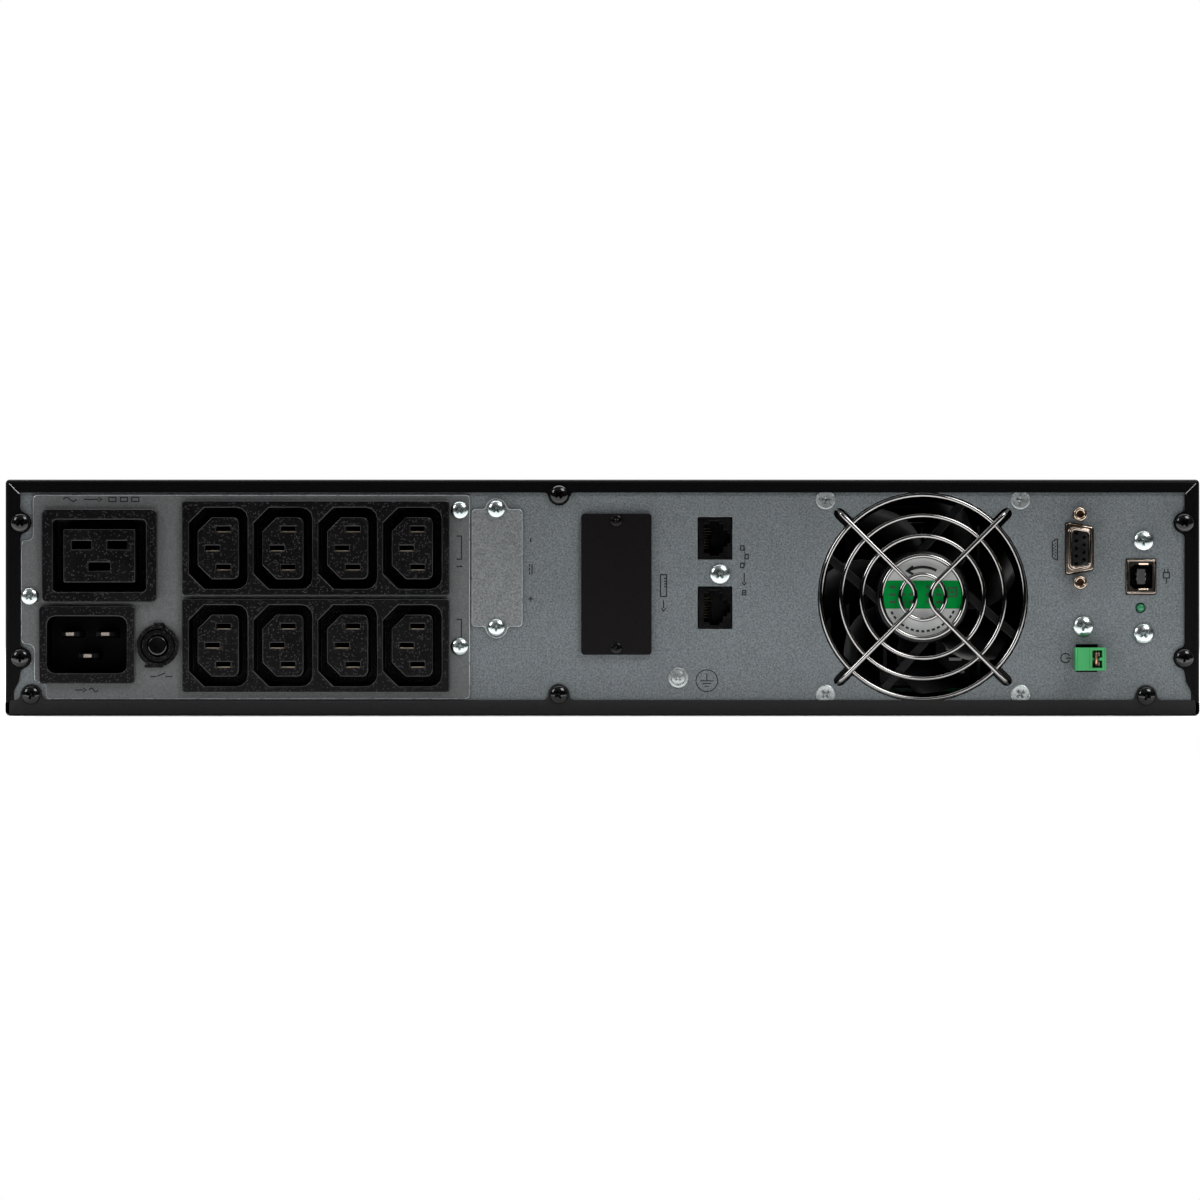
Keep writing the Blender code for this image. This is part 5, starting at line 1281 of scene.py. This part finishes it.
FRONT_WALL = 3.0
FRONT_RIM = 1.2
FRONT_BACK = outside("front_bezel")
DISPLAY = middle("display_turntable")
TURNTABLE = 34.0
PULL_CENTRE = (-62.0, 43.0)
PULL_SIZE = (100.0, 26.0)
PULL_DEPTH = 20.0
PLEAT, PLEAT_RISE = 1.6, 1.4
FILTER_THICK = 1.2
FILTERS = (
    ("bezel_filter", (200.0, 215.5), "root"),
    ("drawer_filter_left", (-208.0, -123.0), "battery_drawer"),
    ("drawer_filter_right", (0.0, 84.0), "battery_drawer"),
)
LUGS = ((127.9, 28.1, 3.4), (130.0, 24.2, 4.4), (131.3, 20.3, 4.8), (132.2, 15.7, 5.0))  # place and width


def vents(centre_x, count, pitch):
    """Air slots in two rows, as functions that give an outline for an inset."""

    def vent(x, z):
        return lambda inset: rectangle((x, z), 3.2 + 2 * inset, 26.0 + 2 * inset, 1.3 + inset, 3)

    return [vent(centre_x + pitch * (i - (count - 1) / 2), z) for i in range(count) for z in (25.0, 61.5)]


def pull(inset):
    """The outline of the drawer's pull pocket for an inset."""
    return rectangle(PULL_CENTRE, PULL_SIZE[0] + 2 * inset, PULL_SIZE[1] + 2 * inset, 5.0 + inset, 6)


def add_front(bm, node, holes, pocket=None):
    """A hollow front with softened rims. holes and pocket are functions that give a loop for an inset."""
    low, high = box_mm(node)
    centre = middle(node)
    width, height = high.x - low.x, high.z - low.z
    inner = BEZEL_FACE - FRONT_WALL
    steps = rim(BEZEL_FACE, FRONT_RIM, 1, 4)
    small = rim(BEZEL_FACE, 0.4, 1, 2)

    def outline(inset):
        return rectangle(centre, width - 2 * inset, height - 2 * inset, 3.0 - inset, 5)

    hollow = rectangle(centre, width - 2 * FRONT_WALL, height - 2 * FRONT_WALL, 1.0, 5)
    add_loft(bm, [(outline(0), FRONT_BACK)] + [(outline(inset), y) for inset, y in steps])
    add_face(bm, [outline(0), hollow], FRONT_BACK)
    add_loft(bm, [(hollow, FRONT_BACK), (hollow, inner)])
    mouths = [hole(small[-1][0]) for hole in holes]
    for hole in holes:
        add_loft(bm, [(hole(inset), y) for inset, y in reversed(small)] + [(hole(0), inner)])
    behind = [hollow] + [hole(0) for hole in holes]
    if pocket:
        floor = BEZEL_FACE - PULL_DEPTH
        sections = [(pocket(inset), y) for inset, y in reversed(steps)]
        sections += [(pocket(0), floor + 1.5), (pocket(-0.4), floor + 0.5), (pocket(-1.5), floor)]
        add_loft(bm, sections)
        add_face(bm, [pocket(-1.5)], floor)
        cup = pocket(2.0)
        add_loft(bm, [(cup, inner), (cup, floor - 2.0)])
        add_face(bm, [cup], floor - 2.0)
        mouths.append(pocket(FRONT_RIM))
        behind.append(cup)
    add_face(bm, [outline(FRONT_RIM)] + mouths, BEZEL_FACE)
    add_face(bm, behind, inner)


def make_front():
    window = [lambda inset: circle(DISPLAY, TURNTABLE + 0.5 + inset, 64)]
    bezel = (add_front, "front_bezel", vents(208.0, 2, 7.0) + window)
    piece("front_bezel_shell", "bezel", bezel, weld, stands_for=["front_bezel"], angle=30)
    drawer = (add_front, "drawer_front", vents(-166.0, 10, 8.0) + vents(42.0, 10, 8.0), pull)
    piece(
        "drawer_front_shell", "bezel", drawer, weld,
        body="battery_drawer", stands_for=["drawer_front"], angle=30,
    )
    make_filters()
    refine("display_turntable", "bezel", 0.4, 3)
    refine("display_window", "lens", 0.25, 2)
    make_display_signs()
    for name in ("power", "up", "down", "enter"):
        refine(f"{name}_button", "key", 0.3, 3)


def make_filters():
    """Pleated dust filters behind the air slots."""
    near = BEZEL_FACE - FRONT_WALL - 0.4
    profiles = []
    for low, high in ((10.0, 40.0), (46.5, 76.5)):
        rise = [(near - PLEAT_RISE * (i % 2), low + PLEAT * i) for i in range(int((high - low) / PLEAT) + 1)]
        profiles.append(rise + [(y - FILTER_THICK, z) for y, z in reversed(rise)])
    for name, x, body in FILTERS:
        piece(name, "foam", *[(add_bar, profile, x) for profile in profiles], body=body, angle=20)


def make_display_signs():
    """What the screen shows, and the signs on the keys."""
    line = 0.45
    marks = wave_marks(4.0, 1.8, line, (-17.0, 6.0))
    marks += strokes([(-5.4, 5.0), (-1.4, 7.0)], [(-3.4, 3.6), (-3.4, 1.4)], width=line)
    for x in (-10.6, 4.0):
        marks += arrow_marks(5.0, line, (x, 6.0))
    boxes = (((-3.4, 6.0), 6.0, 4.4), ((10.6, 6.0), 4.0, 4.0), ((-3.4, -0.1), 6.0, 2.6))
    bars = (((-10.6, -7.2), 15.0, 3.0), ((10.6, -7.2), 15.0, 3.0))
    for centre, width, height in boxes + bars:
        marks += frame_marks(width, height, line, centre)
    cells = [[(-5.2 + 1.2 * i, -0.9), (-5.2 + 1.2 * i, 0.7)] for i in range(4)]
    starts = [left + 2.7 * i for left, count in ((-17.2, 5), (4.0, 3)) for i in range(count)]
    marks += strokes(*cells, width=0.7) + strokes(*[[(x, -7.2), (x + 2.0, -7.2)] for x in starts], width=1.8)
    screen = "display_window"
    ink("display_signs", middle(screen), marks, inside(screen), "lcd", body="display", outward=1)
    enter = ([(1.1, 1.0), (1.1, -0.2), (-1.0, -0.2)], [(-0.4, 0.5), (-1.1, -0.2), (-0.4, -0.9)])
    keys = {
        "power": power_marks(1.2, 0.35, 0.2, 1.5, 16),
        "up": strokes([(-1.0, -0.5), (0, 0.7), (1.0, -0.5)], width=0.4),
        "down": strokes([(-1.0, 0.5), (0, -0.7), (1.0, 0.5)], width=0.4),
        "enter": strokes(*enter, width=0.35),
    }
    for name, sign in keys.items():
        node = f"{name}_button"
        ink(f"{node}_sign", middle(node), sign, inside(node), "ink_white", body=node, outward=1)


def make_lugs():
    """The bright lugs that show through the fan, on the strip that the mains leads end in."""
    back = inside("fan_frame")
    lugs = [(add_prism, rectangle((x, z), width, 1.1, 0.3), (back + 1.0, back + 4.0)) for x, z, width in LUGS]
    piece("power_lugs", "label_silver", *lugs, bevel=0.1)
    strip = [(back + y, z) for y, z in ((4.0, 12.0), (4.0, 31.0), (9.0, 31.0), (12.0, 27.0), (12.0, 12.0))]
    piece("power_lug_strip", "socket", (add_bar, strip, (124.0, 137.0)), bevel=0.4)


def add_slab(bm, outline, z):
    """Adds an outline of (x, y) points, extruded along Z."""
    skin(bm, [[bm.verts.new((x, y, level)) for x, y in outline] for level in z], ends=True)


def make_battery(node):
    """A sealed block with a lid seam and a plain label that has printed bands."""
    refine(node, "battery", 1.0, 3)
    low, high = box_mm(node)
    far = high.x - 5.8
    centre = ((low.x + far) / 2, (low.y + high.y) / 2)
    width, length = far - low.x, high.y - low.y
    top = high.z
    label = (add_slab, rectangle(centre, width * 0.62, length * 0.5, 1.5), (top + 0.02, top + 0.16))
    piece(f"{node}_label", "paper", label, body="battery_drawer", angle=30)
    bands = []
    for shift, share in ((-0.16, 0.62), (0.0, 0.62), (0.16, 0.4)):
        y = centre[1] + length * shift
        half = width * share * 0.36
        x = (centre[0] - half, centre[0] + half)
        bands.append((add_box, x, (y - 2.2, y + 2.2), (top + 0.16, top + 0.2)))
    piece(f"{node}_label_bands", "green_dark", *bands, body="battery_drawer")
    path = [(x, y, top - 0.05) for x, y in rectangle(centre, width - 7.0, length - 7.0, 3.0)]
    piece(f"{node}_lid_seam", "capacitor", (add_tube, path, 0.35, 8, True), body="battery_drawer", angle=60)


def make_inside():
    make_lugs()
    for number in range(1, 7):
        make_battery(f"battery_{number}")
    plain = (
        ("battery_tray", "zinc_sheet", 0.3),
        ("partition", "zinc_sheet", 0.2),
        ("dock_plug", "black_plastic", 0.4),
        ("dock_socket", "black_plastic", 0.4),
        ("power_board", "board", 0.15),
        ("comm_board", "board", 0.15),
        ("heatsink", "aluminium", 0.2),
        ("transformer", "winding", 1.2, 3),
        ("bus_capacitor_1", "capacitor", 0.5),
        ("bus_capacitor_2", "capacitor", 0.5),
    )
    for row in plain:
        refine(*row)


for finish_name, values in FINISHES.items():
    finish(finish_name, *values, **EXTRAS.get(finish_name, {}))
add_camera()
add_world()
add_floor()
for light_name, values in SOFTBOXES.items():
    add_softbox(light_name, *values)
make_case()
make_outlets()
make_breaker()
make_signals()
make_fan()
make_screws()
make_signs()
make_front()
make_inside()
bpy.context.scene.view_settings.view_transform = "Standard"
